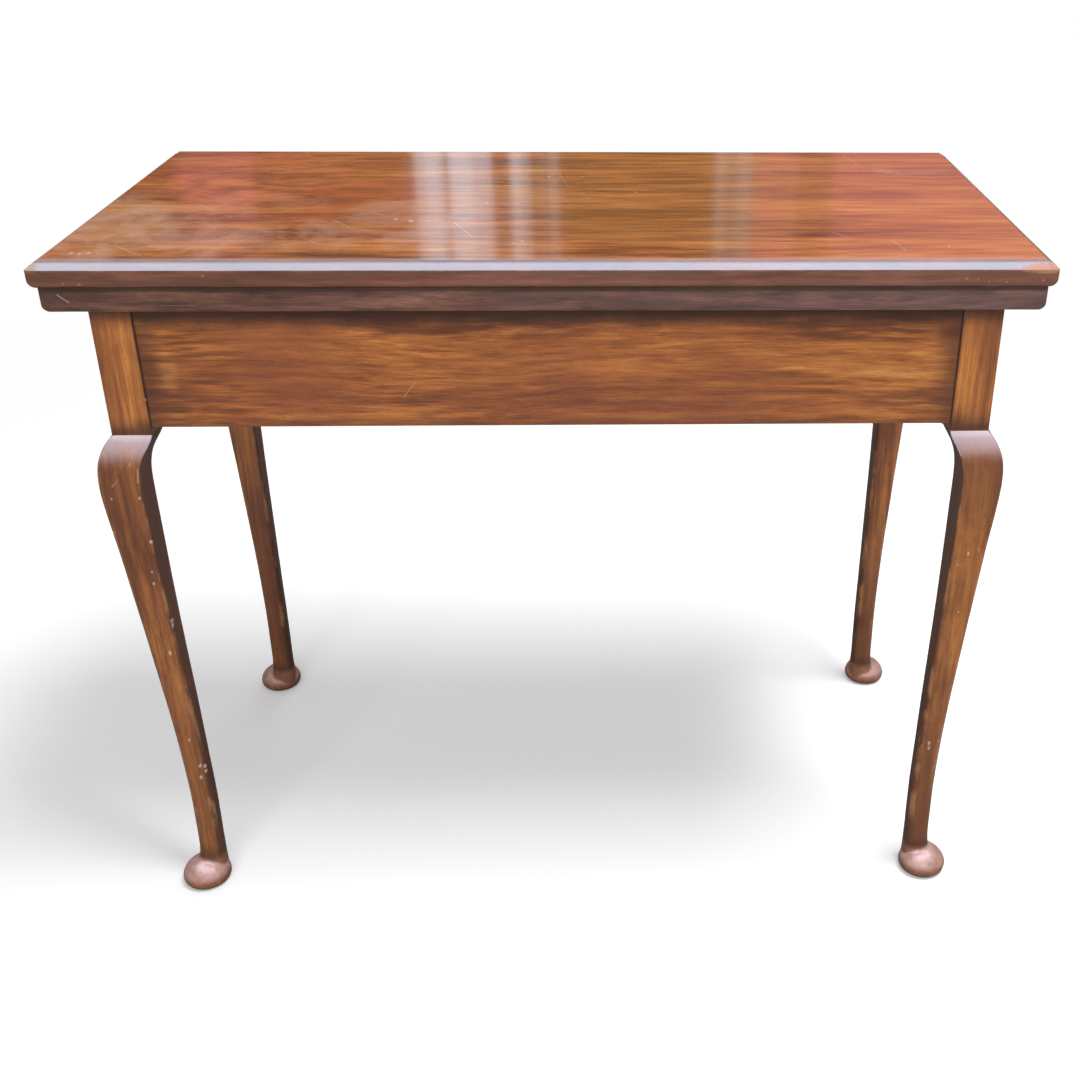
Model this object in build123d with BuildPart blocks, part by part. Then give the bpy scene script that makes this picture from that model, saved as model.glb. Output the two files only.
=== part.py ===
from build123d import *
from math import cos, radians, sin
import os

# Folding card table: a top that opens like a book and a back leg that swings out to carry it.
# Millimetres. The origin is on the floor under the middle of the closed table.
# X runs along the table's length, Y from its front to its back, Z up.

# Top
table_height = 740.0
leaf_length = 914.0
leaf_depth = 450.0
leaf_thickness = 24.0
leaf_step = 6.0
leaf_corner_radius = 2.5
edge_round_in = 7.0
edge_round_up = 12.0
lower_round_up = 11.5
moulding_width = 10.0
moulding_drop = 6.7
moulding_quirk = 0.7
moulding_bulge = 0.8

# Baize lining
baize_thickness = 1.0
baize_sink = 0.2
baize_margin = 62.0
baize_hinge_margin = 5.0
baize_gap = 0.5

# Frame
end_overhang = 34.0
front_overhang = 38.0
rail_height = 124.0
rail_thickness = 20.0
rail_setback = 1.0
tenon_length = 20.0
tenon_thickness = 8.0
tenon_shoulder = 12.0
glue_gap = 0.05
overrun = 5.0

# Swing leg and its wooden knuckle joint
swing_gap = 0.5
tongue_thickness = 12.0
knuckle_count = 5
knuckle_end_gap = 0.3
knuckle_cutback = 6.0
pivot_pin_radius = 3.0
pivot_pin_inset = 4.0
running_gap = 0.05
tail_count = 4
tail_root_half = 8.6
tail_end_half = 11.4

# Cabriole legs
stile_width = 38.0
stile_drop = 8.0
knee_reach = 16.1
foot_radius = 26.5
foot_height = 29.0
foot_inset = 9.0
foot_fillet = 5.0
ear_size = 10.0
ear_hollow = 2.2
ear_root = 8.0

# Card-table hinges
plate_length = 62.0
plate_width = 10.0
plate_offset = 7.5
lower_plate_thickness = 5.0
plate_gap = 0.2
plate_end_radius = 4.0
eye_radius = 6.0
eye_gap = 0.5
hinge_pin_radius = 2.0
hinge_screw_count = 3
hinge_screw_pitch = 18.0
hinge_screw_first = 16.0
hinge_screw_length = 18.0
hinge_screw_radius = 1.7
hinge_head_radius = 3.2

# Screws and blocks inside the frame
screw_gap = 0.02
slot_width = 0.9
slot_depth = 0.8
wood_screw_radius = 2.2
wood_head_radius = 4.2
top_screw_length = 36.0
top_screw_sink = 22.0
top_screw_tilt = 15.0
pocket_radius = 6.0
pocket_length = 45.0
rail_screw_length = 30.0
block_width = 17.0
corner_block_height = 100.0
glue_block_length = 60.0
block_chamfer = 5.0

# Shares of the stile's foot height, the knee's reach, the stile's width and the stile's width again
leg_curve_shares = (
    (1.000, 0.00, 1.000, 0.040),
    (0.990, 0.33, 0.974, 0.042),
    (0.975, 0.64, 0.861, 0.045),
    (0.957, 0.86, 0.726, 0.048),
    (0.936, 0.97, 0.649, 0.052),
    (0.911, 1.00, 0.621, 0.056),
    (0.875, 0.95, 0.621, 0.062),
    (0.830, 0.84, 0.629, 0.072),
    (0.768, 0.68, 0.641, 0.088),
    (0.696, 0.52, 0.654, 0.106),
    (0.607, 0.32, 0.677, 0.130),
    (0.509, 0.12, 0.713, 0.160),
    (0.402, -0.09, 0.752, 0.193),
    (0.295, -0.24, 0.785, 0.225),
    (0.196, -0.31, 0.810, 0.250),
    (0.116, -0.29, 0.806, 0.262),
    (0.066, -0.22, 0.805, 0.272),
    (0.036, 0.06, 0.821, 0.330),
    (0.018, 0.62, 0.842, 0.420),
)
# Shares of the foot's radius and height
foot_curve_shares = (
    (0.74, 0.00),
    (0.955, 0.12),
    (1.00, 0.29),
    (0.95, 0.49),
    (0.80, 0.69),
    (0.55, 0.87),
    (0.26, 0.97),
    (0.00, 1.00),
)
# Places along each rail, as shares of the length between the legs
rail_screw_shares = (0.28, 0.53, 0.78)
glue_block_shares = (-0.36, 0.0, 0.36)
top_screw_shares = (-0.20, 0.20)
side_block_shares = (-0.25, 0.25)

# Heights
seam_height = table_height - leaf_thickness
frame_top = seam_height - leaf_thickness
rail_bottom = frame_top - rail_height
rail_middle = rail_bottom + rail_height / 2
stile_bottom = rail_bottom - stile_drop
fly_top = frame_top - swing_gap

# Places front to back
back_reach = max(knee_reach, foot_radius - foot_inset)
front_edge = -(leaf_depth + back_reach) / 2
hinge_line = front_edge + leaf_depth
frame_front = front_edge + front_overhang
frame_back = hinge_line
front_rail_line = frame_front + rail_setback + rail_thickness / 2
pin_line = frame_back - rail_setback - rail_thickness / 2
inner_rail_back = frame_back - rail_setback - rail_thickness - swing_gap
inner_rail_front = frame_back - stile_width - swing_gap
inner_rail_line = (inner_rail_back + inner_rail_front) / 2
side_front = frame_front + stile_width
side_back = frame_back - stile_width
side_middle = (side_front + side_back) / 2
front_rail_inner = frame_front + rail_setback + rail_thickness
baize_front = front_edge + leaf_step + baize_margin
baize_back = hinge_line - baize_hinge_margin

# Places along the table
upper_half = leaf_length / 2
lower_half = upper_half - leaf_step
frame_half = upper_half - end_overhang
frame_inner = frame_half - stile_width
side_rail_line = frame_half - rail_setback - rail_thickness / 2
side_rail_inner = frame_half - rail_setback - rail_thickness
tail_outer = frame_half - tongue_thickness - swing_gap
pivot_x = stile_width / 2 - rail_setback - rail_thickness / 2
rounded_finger = rail_thickness / 2
upper_plate_thickness = leaf_step - plate_gap
baize_half = lower_half - baize_margin

# Heights and depths of the joints
tenon_low = rail_bottom + tenon_shoulder
tenon_high = frame_top - tenon_shoulder
knuckle_height = rail_height / knuckle_count
baize_recess = baize_thickness + baize_sink


# A square-edged piece between two places along each direction, grown by a gap on every side
def bar(x_places, y_places, z_places, gap=0.0):
    x_low, x_high = sorted(x_places)
    y_low, y_high = sorted(y_places)
    z_low, z_high = sorted(z_places)
    with BuildPart() as piece:
        with BuildSketch(Plane.XY.offset(z_low - gap)):
            with Locations(((x_low + x_high) / 2, (y_low + y_high) / 2)):
                Rectangle(x_high - x_low + 2 * gap, y_high - y_low + 2 * gap)
        extrude(amount=z_high - z_low + 2 * gap)
    return piece.part


# A tenon that runs along the table, from the leg's inner face into the leg
def tenon_along(side, line, gap=0.0):
    return bar(
        (side * (frame_inner - overrun), side * (frame_inner + tenon_length)),
        (line - tenon_thickness / 2, line + tenon_thickness / 2),
        (tenon_low, tenon_high),
        gap,
    )


# A tenon that runs front to back, from the face of a leg into it
def tenon_across(side, face, way, gap=0.0):
    line = side * side_rail_line
    return bar(
        (line - tenon_thickness / 2, line + tenon_thickness / 2),
        (face - way * overrun, face + way * tenon_length),
        (tenon_low, tenon_high),
        gap,
    )


# A countersunk wood screw whose head lies in the plane, grown by a gap when it cuts its own hole
def wood_screw(place, head_radius, shank_radius, length, gap=0.0):
    head = head_radius + gap
    shank = shank_radius + gap
    head_depth = head_radius - shank_radius
    neck = length - shank_radius
    tip = -length - gap
    with BuildPart() as screw:
        with BuildSketch(Plane(place.origin, x_dir=place.x_dir, z_dir=-place.y_dir)):
            with BuildLine():
                Polyline((0, 0), (head, 0), (shank, -head_depth), (shank, -neck), (0, tip), close=True)
            make_face()
        revolve(axis=Axis(place.origin, place.z_dir))
        if gap == 0:
            with BuildSketch(place):
                Rectangle(2 * head_radius + overrun, slot_width)
            extrude(amount=-slot_depth, mode=Mode.SUBTRACT)
        else:
            with BuildSketch(place):
                Circle(head)
            extrude(amount=overrun)
    return screw.part


# One edge of a leaf's outline, from its underside to its top, where way is the side it faces
def leaf_edge(face, way, bottom, round_up, top, moulded):
    centre = (face - way * edge_round_in, bottom + round_up)
    if way > 0:
        EllipticalCenterArc(centre, edge_round_in, round_up, 270, arc_size=90)
    else:
        EllipticalCenterArc(centre, edge_round_in, round_up, 180, arc_size=90)
    if moulded:
        arris = (face, top - moulding_drop)
        shelf = (face - way * moulding_width, top - moulding_quirk)
        Line((face, bottom + round_up), arris)
        SagittaArc(arris, shelf, -way * moulding_bulge)
        Line(shelf, (face - way * moulding_width, top))
    else:
        Line((face, bottom + round_up), (face, top))


# A leaf: one outline seen from the front and one seen from the end, each cutting the other
def leaf_board(half_length, front, bottom, round_up, moulded):
    top = bottom + leaf_thickness
    margin = moulding_width if moulded else 0.0
    with BuildPart() as board:
        with BuildSketch(Plane.XZ.offset(-hinge_line)):
            with BuildLine():
                Line((-half_length + edge_round_in, bottom), (half_length - edge_round_in, bottom))
                leaf_edge(half_length, 1, bottom, round_up, top, moulded)
                Line((half_length - margin, top), (-half_length + margin, top))
                leaf_edge(-half_length, -1, bottom, round_up, top, moulded)
            make_face()
        extrude(amount=hinge_line - front)
        with BuildSketch(Plane.YZ):
            with BuildLine():
                Line((hinge_line, bottom), (front + edge_round_in, bottom))
                leaf_edge(front, -1, bottom, round_up, top, moulded)
                Line((front + margin, top), (hinge_line, top))
                Line((hinge_line, top), (hinge_line, bottom))
            make_face()
        extrude(amount=half_length, both=True, mode=Mode.INTERSECT)
        with BuildSketch(Plane.XY.offset(bottom)) as outline:
            with Locations((0, (front + hinge_line) / 2)):
                Rectangle(2 * half_length, hinge_line - front)
            fillet(outline.vertices().group_by(Axis.Y)[0], leaf_corner_radius)
        extrude(amount=leaf_thickness, mode=Mode.INTERSECT)
    return board.part


# The hollow-curved ear in the corner between a stile and the underside of a rail
def ear(plane, stile_face, way, top, depth):
    tip = (stile_face + way * ear_size, top)
    heel = (stile_face - way * ear_hollow, rail_bottom - ear_size - ear_hollow)
    root = stile_face - way * ear_root
    with BuildPart() as piece:
        with BuildSketch(plane):
            with BuildLine():
                SagittaArc(tip, heel, -way * ear_hollow)
                Polyline(heel, (root, heel[1]), (root, top), tip)
            make_face()
        extrude(amount=depth)
    return piece.part


# A leg without its joints: the stile, the cabriole curve, the round pad foot and two ears
# Side and way are +1 or -1, and say which corner of the table the leg faces
def leg_blank(side, way, top, across_ear_top):
    corner_x = side * frame_half
    corner_y = frame_front if way < 0 else frame_back
    foot_place = (corner_x - side * foot_inset, corner_y - way * foot_inset, 0)
    face_x = corner_x - side * rail_setback
    face_y = corner_y - way * rail_setback
    stile_x = corner_x - side * stile_width
    stile_y = corner_y - way * stile_width
    along_ear = ear(Plane.XZ.offset(-face_y), stile_x, -side, rail_bottom, way * rail_thickness)
    across_ear = ear(Plane.YZ.offset(face_x), stile_y, -way, across_ear_top, -side * rail_thickness)
    with BuildPart() as blank:
        for height_share, out_share, in_share, round_share in leg_curve_shares:
            outward = out_share * knee_reach
            inward = in_share * stile_width
            middle = (inward - outward) / 2
            place = Plane((corner_x - side * middle, corner_y - way * middle, height_share * stile_bottom))
            with BuildSketch(place):
                RectangleRounded(inward + outward, inward + outward, round_share * stile_width)
        loft()
        with BuildSketch(Plane.XY.offset(stile_bottom)):
            with Locations(((corner_x + stile_x) / 2, (corner_y + stile_y) / 2)):
                Rectangle(stile_width, stile_width)
        extrude(amount=top - stile_bottom)
        with BuildSketch(Plane(foot_place, x_dir=(1, 0, 0), z_dir=(0, -1, 0))):
            with BuildLine():
                curve = [(across * foot_radius, up * foot_height) for across, up in foot_curve_shares]
                Line((0, 0), curve[0])
                Spline(*curve)
                Line(curve[-1], (0, 0))
            make_face()
        revolve(axis=Axis(foot_place, (0, 0, 1)))
        crease = blank.edges().filter_by_position(Axis.Z, foot_height / 2, foot_height)
        fillet(crease.filter_by(lambda edge: edge.length < foot_radius), foot_fillet)
        add(along_ear)
        add(across_ear)
    return blank.part


# Dovetails on the back end of the left side rail, grown by a gap when they cut their own sockets
def dovetails(gap=0.0):
    pitch = rail_height / tail_count
    with BuildPart() as tails:
        with BuildSketch(Plane.YZ.offset(-tail_outer - gap)):
            for index in range(tail_count):
                with Locations((0, rail_bottom + (index + 0.5) * pitch)):
                    Polygon(
                        (inner_rail_front, -tail_root_half - gap),
                        (inner_rail_back, -tail_end_half - gap),
                        (inner_rail_back, tail_end_half + gap),
                        (inner_rail_front, tail_root_half + gap),
                        align=None,
                    )
        extrude(amount=tail_outer - side_rail_inner + 2 * gap)
    return tails.part


# The room that the other rail's knuckles turn in; body_way is the side of the pin that this rail lies on
def knuckle_room(body_way, indexes):
    room_radius = rounded_finger + swing_gap
    open_x = pivot_x - body_way * 2 * room_radius
    outer_x = pivot_x + body_way * room_radius
    inner_x = pivot_x + body_way * knuckle_cutback
    outer_y = pin_line + room_radius + overrun
    inner_y = pin_line - room_radius - overrun
    with BuildPart() as room:
        for index in indexes:
            low = rail_bottom + index * knuckle_height - knuckle_end_gap / 2
            with BuildSketch(Plane.XY.offset(low)):
                with Locations((pivot_x, pin_line)):
                    Circle(room_radius)
                for edge_x, far_y in ((outer_x, outer_y), (inner_x, inner_y)):
                    corners = [(open_x, pin_line), (edge_x, pin_line), (edge_x, far_y), (open_x, far_y)]
                    Polygon(*corners, align=None)
            extrude(amount=knuckle_height + knuckle_end_gap)
    return room.part


# Where each screw of one hinge plate starts, on the outer face of the plate
def plate_screw_places(side, outer_x, way):
    height = seam_height + way * plate_offset
    first = hinge_line - hinge_screw_first
    return [
        Plane((outer_x, first - index * hinge_screw_pitch, height), z_dir=(side, 0, 0))
        for index in range(hinge_screw_count)
    ]


# The straight part of a hinge plate, with the shoulder that joins it to its eye
def hinge_strap(side, outer_x, thickness, way, gap=0.0):
    middle = seam_height + way * plate_offset
    shoulder = middle - way * plate_width / 2
    with BuildPart() as strap:
        with BuildSketch(Plane.YZ.offset(outer_x)) as outline:
            with Locations((hinge_line - plate_length / 2, middle)):
                Rectangle(plate_length, plate_width)
            fillet(outline.vertices().group_by(Axis.X)[0], plate_end_radius)
            Polygon(
                (hinge_line - 3 * eye_radius, shoulder),
                (hinge_line - eye_radius, seam_height),
                (hinge_line, seam_height),
                (hinge_line, shoulder),
                align=None,
            )
            if gap > 0:
                offset(amount=gap, mode=Mode.REPLACE)
        extrude(amount=-side * (thickness + gap))
    return strap.part


# A hinge plate: its strap filed to the leaf's edge, its eye, and its screw holes
def hinge_plate(side, outer_x, thickness, way, board):
    strap = hinge_strap(side, outer_x, thickness, way)
    with BuildPart() as plate:
        add(strap)
        add(board, mode=Mode.INTERSECT)
        with BuildSketch(Plane.YZ.offset(outer_x)):
            with Locations((hinge_line, seam_height)):
                Circle(eye_radius)
        extrude(amount=-side * thickness)
        with BuildSketch(Plane.YZ.offset(outer_x)):
            with Locations((hinge_line, seam_height)):
                Circle(hinge_pin_radius + running_gap)
        extrude(amount=-side * thickness, mode=Mode.SUBTRACT)
        for place in plate_screw_places(side, outer_x, way):
            add(hinge_screw(place, screw_gap), mode=Mode.SUBTRACT)
    return plate.part


def hinge_screw(place, gap=0.0):
    return wood_screw(place, hinge_head_radius, hinge_screw_radius, hinge_screw_length, gap)


# The room round both eyes at one end, cut from both leaves
def eye_room(side):
    inner_x = lower_half - lower_plate_thickness - eye_gap
    with BuildPart() as room:
        with BuildSketch(Plane.YZ.offset(side * inner_x)):
            with Locations((hinge_line, seam_height)):
                Circle(eye_radius + eye_gap)
        extrude(amount=side * (upper_half + overrun - inner_x))
    return room.part


# Where a pocket screw's head sits: below the middle of a rail's top, leaning in towards the frame's middle
def pocket_place(x, y, lean_x, lean_y):
    lean = sin(radians(top_screw_tilt))
    drop = cos(radians(top_screw_tilt))
    away = Vector(lean_x * lean, lean_y * lean, -drop)
    return Plane(Vector(x, y, frame_top) + away * top_screw_sink, z_dir=away)


def top_screw(place, gap=0.0):
    return wood_screw(place, wood_head_radius, wood_screw_radius, top_screw_length, gap)


# A pocket screw's hole, with the round pocket that opens on the rail's inner face
def top_screw_room(place):
    hole = top_screw(place, screw_gap)
    with BuildPart() as room:
        add(hole)
        with BuildSketch(place):
            Circle(pocket_radius)
        extrude(amount=pocket_length)
    return room.part


def rail_screw(place, gap=0.0):
    return wood_screw(place, wood_head_radius, wood_screw_radius, rail_screw_length, gap)


# A block glued into a corner of the frame, with the edge that faces the frame's middle chamfered
def glued_block(x_places, y_places, z_places, axis, corner):
    shape = bar(x_places, y_places, z_places)
    with BuildPart() as block:
        add(shape)
        chamfer(block.edges().filter_by(axis).sort_by_distance(corner)[-1], block_chamfer)
    return block.part


screw_stations = [share * 2 * frame_inner for share in top_screw_shares]
front_screw_places = [pocket_place(station, front_rail_line, 0, 1) for station in screw_stations]
back_screw_places = [pocket_place(station, inner_rail_line, 0, -1) for station in screw_stations]
left_screw_place = pocket_place(-side_rail_line, side_middle, 1, 0)
right_screw_place = pocket_place(side_rail_line, side_middle, -1, 0)
top_screw_places = front_screw_places + back_screw_places + [left_screw_place, right_screw_place]
rail_screw_places = [
    Plane((pivot_x + share * (frame_inner - pivot_x), inner_rail_front, rail_middle), z_dir=(0, -1, 0))
    for share in rail_screw_shares
]
lower_hinge_places = [place for side in (-1, 1) for place in plate_screw_places(side, side * lower_half, -1)]
upper_hinge_places = [place for side in (-1, 1) for place in plate_screw_places(side, side * upper_half, 1)]

# Front rail
with BuildPart() as front_rail:
    with BuildSketch(Plane.YZ):
        with Locations((front_rail_line, rail_middle)):
            Rectangle(rail_thickness, rail_height)
    extrude(amount=frame_inner, both=True)
    for side in (-1, 1):
        add(tenon_along(side, front_rail_line))
    for place in front_screw_places:
        add(top_screw_room(place), mode=Mode.SUBTRACT)
front_rail.part.label = "front_rail"

# Right side rail, from the front right leg to the back right leg
with BuildPart() as right_side_rail:
    with BuildSketch(Plane.XZ.offset(-side_middle)):
        with Locations((side_rail_line, rail_middle)):
            Rectangle(rail_thickness, rail_height)
    extrude(amount=(side_back - side_front) / 2, both=True)
    add(tenon_across(1, side_front, -1))
    add(tenon_across(1, side_back, 1))
    add(top_screw_room(right_screw_place), mode=Mode.SUBTRACT)
right_side_rail.part.label = "right_side_rail"

# Left side rail, from the front left leg to its dovetails behind the swing leg
with BuildPart() as left_side_rail:
    with BuildSketch(Plane.XZ.offset(-side_front)):
        with Locations((-side_rail_line, rail_middle)):
            Rectangle(rail_thickness, rail_height)
    extrude(amount=-(inner_rail_front - side_front))
    add(tenon_across(-1, side_front, -1))
    add(dovetails())
    add(top_screw_room(left_screw_place), mode=Mode.SUBTRACT)
left_side_rail.part.label = "left_side_rail"

# Inner back rail, dovetailed at the left and tenoned into the back right leg
with BuildPart() as inner_back_rail:
    with BuildSketch(Plane.YZ.offset(-tail_outer)):
        with Locations((inner_rail_line, rail_middle)):
            Rectangle(inner_rail_back - inner_rail_front, rail_height)
    extrude(amount=tail_outer + frame_inner)
    add(tenon_along(1, inner_rail_line))
    add(dovetails(glue_gap), mode=Mode.SUBTRACT)
    for place in back_screw_places:
        add(top_screw_room(place), mode=Mode.SUBTRACT)
    for place in rail_screw_places:
        add(rail_screw(place, screw_gap), mode=Mode.SUBTRACT)
inner_back_rail.part.label = "inner_back_rail"

# Fixed half of the outer back rail, with the knuckles at the top, the middle and the bottom
with BuildPart() as fixed_back_rail:
    with BuildSketch(Plane.XY.offset(rail_bottom)):
        with Locations(((pivot_x + frame_inner) / 2, (inner_rail_back + pin_line + rounded_finger) / 2)):
            Rectangle(frame_inner - pivot_x, pin_line + rounded_finger - inner_rail_back)
        with Locations((pivot_x, pin_line)):
            Circle(rounded_finger)
    extrude(amount=rail_height)
    add(tenon_along(1, pin_line))
    add(knuckle_room(1, range(1, knuckle_count, 2)), mode=Mode.SUBTRACT)
    with BuildSketch(Plane.XY.offset(rail_bottom)):
        with Locations((pivot_x, pin_line)):
            Circle(pivot_pin_radius + running_gap)
    extrude(amount=rail_height, mode=Mode.SUBTRACT)
    for place in rail_screw_places:
        add(rail_screw(place, screw_gap), mode=Mode.SUBTRACT)
fixed_back_rail.part.label = "fixed_back_rail"

# Fly rail, the half of the outer back rail that swings with its leg
with BuildPart() as fly_rail:
    with BuildSketch(Plane.XY.offset(rail_bottom)):
        with Locations(((pivot_x - frame_inner) / 2, pin_line)):
            Rectangle(frame_inner + pivot_x, rail_thickness)
        with Locations((pivot_x, pin_line)):
            Circle(rounded_finger)
    extrude(amount=fly_top - rail_bottom)
    add(tenon_along(-1, pin_line))
    add(knuckle_room(-1, range(0, knuckle_count, 2)), mode=Mode.SUBTRACT)
    with BuildSketch(Plane.XY.offset(rail_bottom)):
        with Locations((pivot_x, pin_line)):
            Circle(pivot_pin_radius + running_gap)
    extrude(amount=rail_height, mode=Mode.SUBTRACT)
fly_rail.part.label = "fly_rail"

# Iron pin of the knuckle joint
with BuildPart() as knuckle_pin:
    with BuildSketch(Plane.XY.offset(rail_bottom + pivot_pin_inset)):
        with Locations((pivot_x, pin_line)):
            Circle(pivot_pin_radius)
    extrude(amount=rail_height - 2 * pivot_pin_inset)
knuckle_pin.part.label = "knuckle_pin"

# Front left leg
front_left_blank = leg_blank(-1, -1, frame_top, rail_bottom)
with BuildPart() as front_left_leg:
    add(front_left_blank)
    add(tenon_along(-1, front_rail_line, glue_gap), mode=Mode.SUBTRACT)
    add(tenon_across(-1, side_front, -1, glue_gap), mode=Mode.SUBTRACT)
front_left_leg.part.label = "front_left_leg"

# Front right leg
front_right_blank = leg_blank(1, -1, frame_top, rail_bottom)
with BuildPart() as front_right_leg:
    add(front_right_blank)
    add(tenon_along(1, front_rail_line, glue_gap), mode=Mode.SUBTRACT)
    add(tenon_across(1, side_front, -1, glue_gap), mode=Mode.SUBTRACT)
front_right_leg.part.label = "front_right_leg"

# Back right leg, which takes both back rails
back_right_blank = leg_blank(1, 1, frame_top, rail_bottom)
with BuildPart() as back_right_leg:
    add(back_right_blank)
    add(tenon_along(1, pin_line, glue_gap), mode=Mode.SUBTRACT)
    add(tenon_along(1, inner_rail_line, glue_gap), mode=Mode.SUBTRACT)
    add(tenon_across(1, side_back, 1, glue_gap), mode=Mode.SUBTRACT)
back_right_leg.part.label = "back_right_leg"

# Swing leg, notched so that it closes over the end of the left side rail
swing_blank = leg_blank(-1, 1, fly_top, rail_bottom - swing_gap)
swing_notch = bar(
    (-frame_half + tongue_thickness, -frame_inner + overrun),
    (side_back - overrun, frame_back - rail_setback - rail_thickness),
    (rail_bottom - swing_gap, frame_top + overrun),
)
with BuildPart() as swing_leg:
    add(swing_blank)
    add(swing_notch, mode=Mode.SUBTRACT)
    add(tenon_along(-1, pin_line, glue_gap), mode=Mode.SUBTRACT)
swing_leg.part.label = "swing_leg"

# Lower leaf, fixed to the frame
lower_board = leaf_board(lower_half, front_edge + leaf_step, frame_top, lower_round_up, False)
lower_recess = bar(
    (-baize_half, baize_half), (baize_front, baize_back), (seam_height - baize_recess, seam_height + overrun)
)
with BuildPart() as lower_leaf:
    add(lower_board)
    add(lower_recess, mode=Mode.SUBTRACT)
    for side in (-1, 1):
        add(hinge_strap(side, side * lower_half, lower_plate_thickness, -1, glue_gap), mode=Mode.SUBTRACT)
        add(eye_room(side), mode=Mode.SUBTRACT)
    for place in lower_hinge_places:
        add(hinge_screw(place, screw_gap), mode=Mode.SUBTRACT)
    for place in top_screw_places:
        add(top_screw(place, screw_gap), mode=Mode.SUBTRACT)
lower_leaf.part.label = "lower_leaf"

# Upper leaf, which folds back on the hinges
upper_board = leaf_board(upper_half, front_edge, seam_height, edge_round_up, True)
upper_recess = bar(
    (-baize_half, baize_half), (baize_front, baize_back), (seam_height - overrun, seam_height + baize_recess)
)
with BuildPart() as upper_leaf:
    add(upper_board)
    add(upper_recess, mode=Mode.SUBTRACT)
    for side in (-1, 1):
        add(hinge_strap(side, side * upper_half, upper_plate_thickness, 1, glue_gap), mode=Mode.SUBTRACT)
        add(eye_room(side), mode=Mode.SUBTRACT)
    for place in upper_hinge_places:
        add(hinge_screw(place, screw_gap), mode=Mode.SUBTRACT)
upper_leaf.part.label = "upper_leaf"

# Baize lining of each playing face
with BuildPart() as lower_baize:
    with BuildSketch(Plane.XY.offset(seam_height - baize_recess)):
        with Locations((0, (baize_front + baize_back) / 2)):
            Rectangle(2 * (baize_half - baize_gap), baize_back - baize_front - 2 * baize_gap)
    extrude(amount=baize_thickness)
lower_baize.part.label = "lower_baize"
with BuildPart() as upper_baize:
    add(lower_baize.part)
    mirror(about=Plane.XY.offset(seam_height), mode=Mode.REPLACE)
upper_baize.part.label = "upper_baize"

# Card-table hinges, one pair of plates and a pin at each end
hinges = []
for side, end in ((-1, "left"), (1, "right")):
    lower_plate = hinge_plate(side, side * lower_half, lower_plate_thickness, -1, lower_board)
    lower_plate.label = end + "_hinge_lower_plate"
    upper_plate = hinge_plate(side, side * upper_half, upper_plate_thickness, 1, upper_board)
    upper_plate.label = end + "_hinge_upper_plate"
    with BuildPart() as hinge_pin:
        with BuildSketch(Plane.YZ.offset(side * upper_half)):
            with Locations((hinge_line, seam_height)):
                Circle(hinge_pin_radius)
        extrude(amount=-side * (leaf_step + lower_plate_thickness))
    hinge_pin.part.label = end + "_hinge_pin"
    hinges += [lower_plate, upper_plate, hinge_pin.part]

# Screws of the hinges' lower plates and upper plates
with BuildPart() as hinge_screws_lower:
    for place in lower_hinge_places:
        add(hinge_screw(place))
hinge_screws_lower.part.label = "hinge_screws_lower"
with BuildPart() as hinge_screws_upper:
    for place in upper_hinge_places:
        add(hinge_screw(place))
hinge_screws_upper.part.label = "hinge_screws_upper"

# Pocket screws that hold the lower leaf down
with BuildPart() as top_screws:
    for place in top_screw_places:
        add(top_screw(place))
top_screws.part.label = "top_screws"

# Screws that hold the fixed half of the outer back rail to the inner one
with BuildPart() as rail_screws:
    for place in rail_screw_places:
        add(rail_screw(place))
rail_screws.part.label = "rail_screws"

# Upright blocks glued behind the legs
corner_block_places = (
    (-frame_inner, block_width, front_rail_inner, side_front - front_rail_inner),
    (-side_rail_inner, side_rail_inner - frame_inner, side_front, block_width),
    (frame_inner, -block_width, front_rail_inner, side_front - front_rail_inner),
    (side_rail_inner, frame_inner - side_rail_inner, side_front, block_width),
    (side_rail_inner, frame_inner - side_rail_inner, side_back, -block_width),
    (frame_inner, -block_width, inner_rail_front, -block_width),
    (-side_rail_inner, block_width, inner_rail_front, -block_width),
)
corner_block_low = rail_middle - corner_block_height / 2
corner_block_high = rail_middle + corner_block_height / 2
with BuildPart() as corner_blocks:
    for x, x_size, y, y_size in corner_block_places:
        heights = (corner_block_low, corner_block_high)
        add(glued_block((x, x + x_size), (y, y + y_size), heights, Axis.Z, (x, y, rail_middle)))
corner_blocks.part.label = "corner_blocks"

# Blocks glued under the lower leaf, along the rails
half_block = glue_block_length / 2
block_heights = (frame_top - block_width, frame_top)
with BuildPart() as glue_blocks:
    for share in glue_block_shares:
        x = share * 2 * frame_inner
        x_places = (x - half_block, x + half_block)
        for face, way in ((front_rail_inner, 1), (inner_rail_front, -1)):
            y_places = (face, face + way * block_width)
            add(glued_block(x_places, y_places, block_heights, Axis.X, (x, face, frame_top)))
    for share in side_block_shares:
        y = side_middle + share * (side_back - side_front)
        y_places = (y - half_block, y + half_block)
        for side in (-1, 1):
            face = side * side_rail_inner
            x_places = (face, face - side * block_width)
            add(glued_block(x_places, y_places, block_heights, Axis.Y, (face, y, frame_top)))
glue_blocks.part.label = "glue_blocks"

pieces = [
    front_rail.part,
    left_side_rail.part,
    right_side_rail.part,
    inner_back_rail.part,
    fixed_back_rail.part,
    fly_rail.part,
    knuckle_pin.part,
    front_left_leg.part,
    front_right_leg.part,
    back_right_leg.part,
    swing_leg.part,
    lower_leaf.part,
    upper_leaf.part,
    lower_baize.part,
    upper_baize.part,
    hinge_screws_lower.part,
    hinge_screws_upper.part,
    top_screws.part,
    rail_screws.part,
    corner_blocks.part,
    glue_blocks.part,
]

os.makedirs("parts", exist_ok=True)
for piece in pieces + hinges:
    export_step(piece, "parts/" + piece.label + ".step")
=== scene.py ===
import bmesh
import bpy
from mathutils import Matrix, Vector, noise
from mathutils.bvhtree import BVHTree


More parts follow.
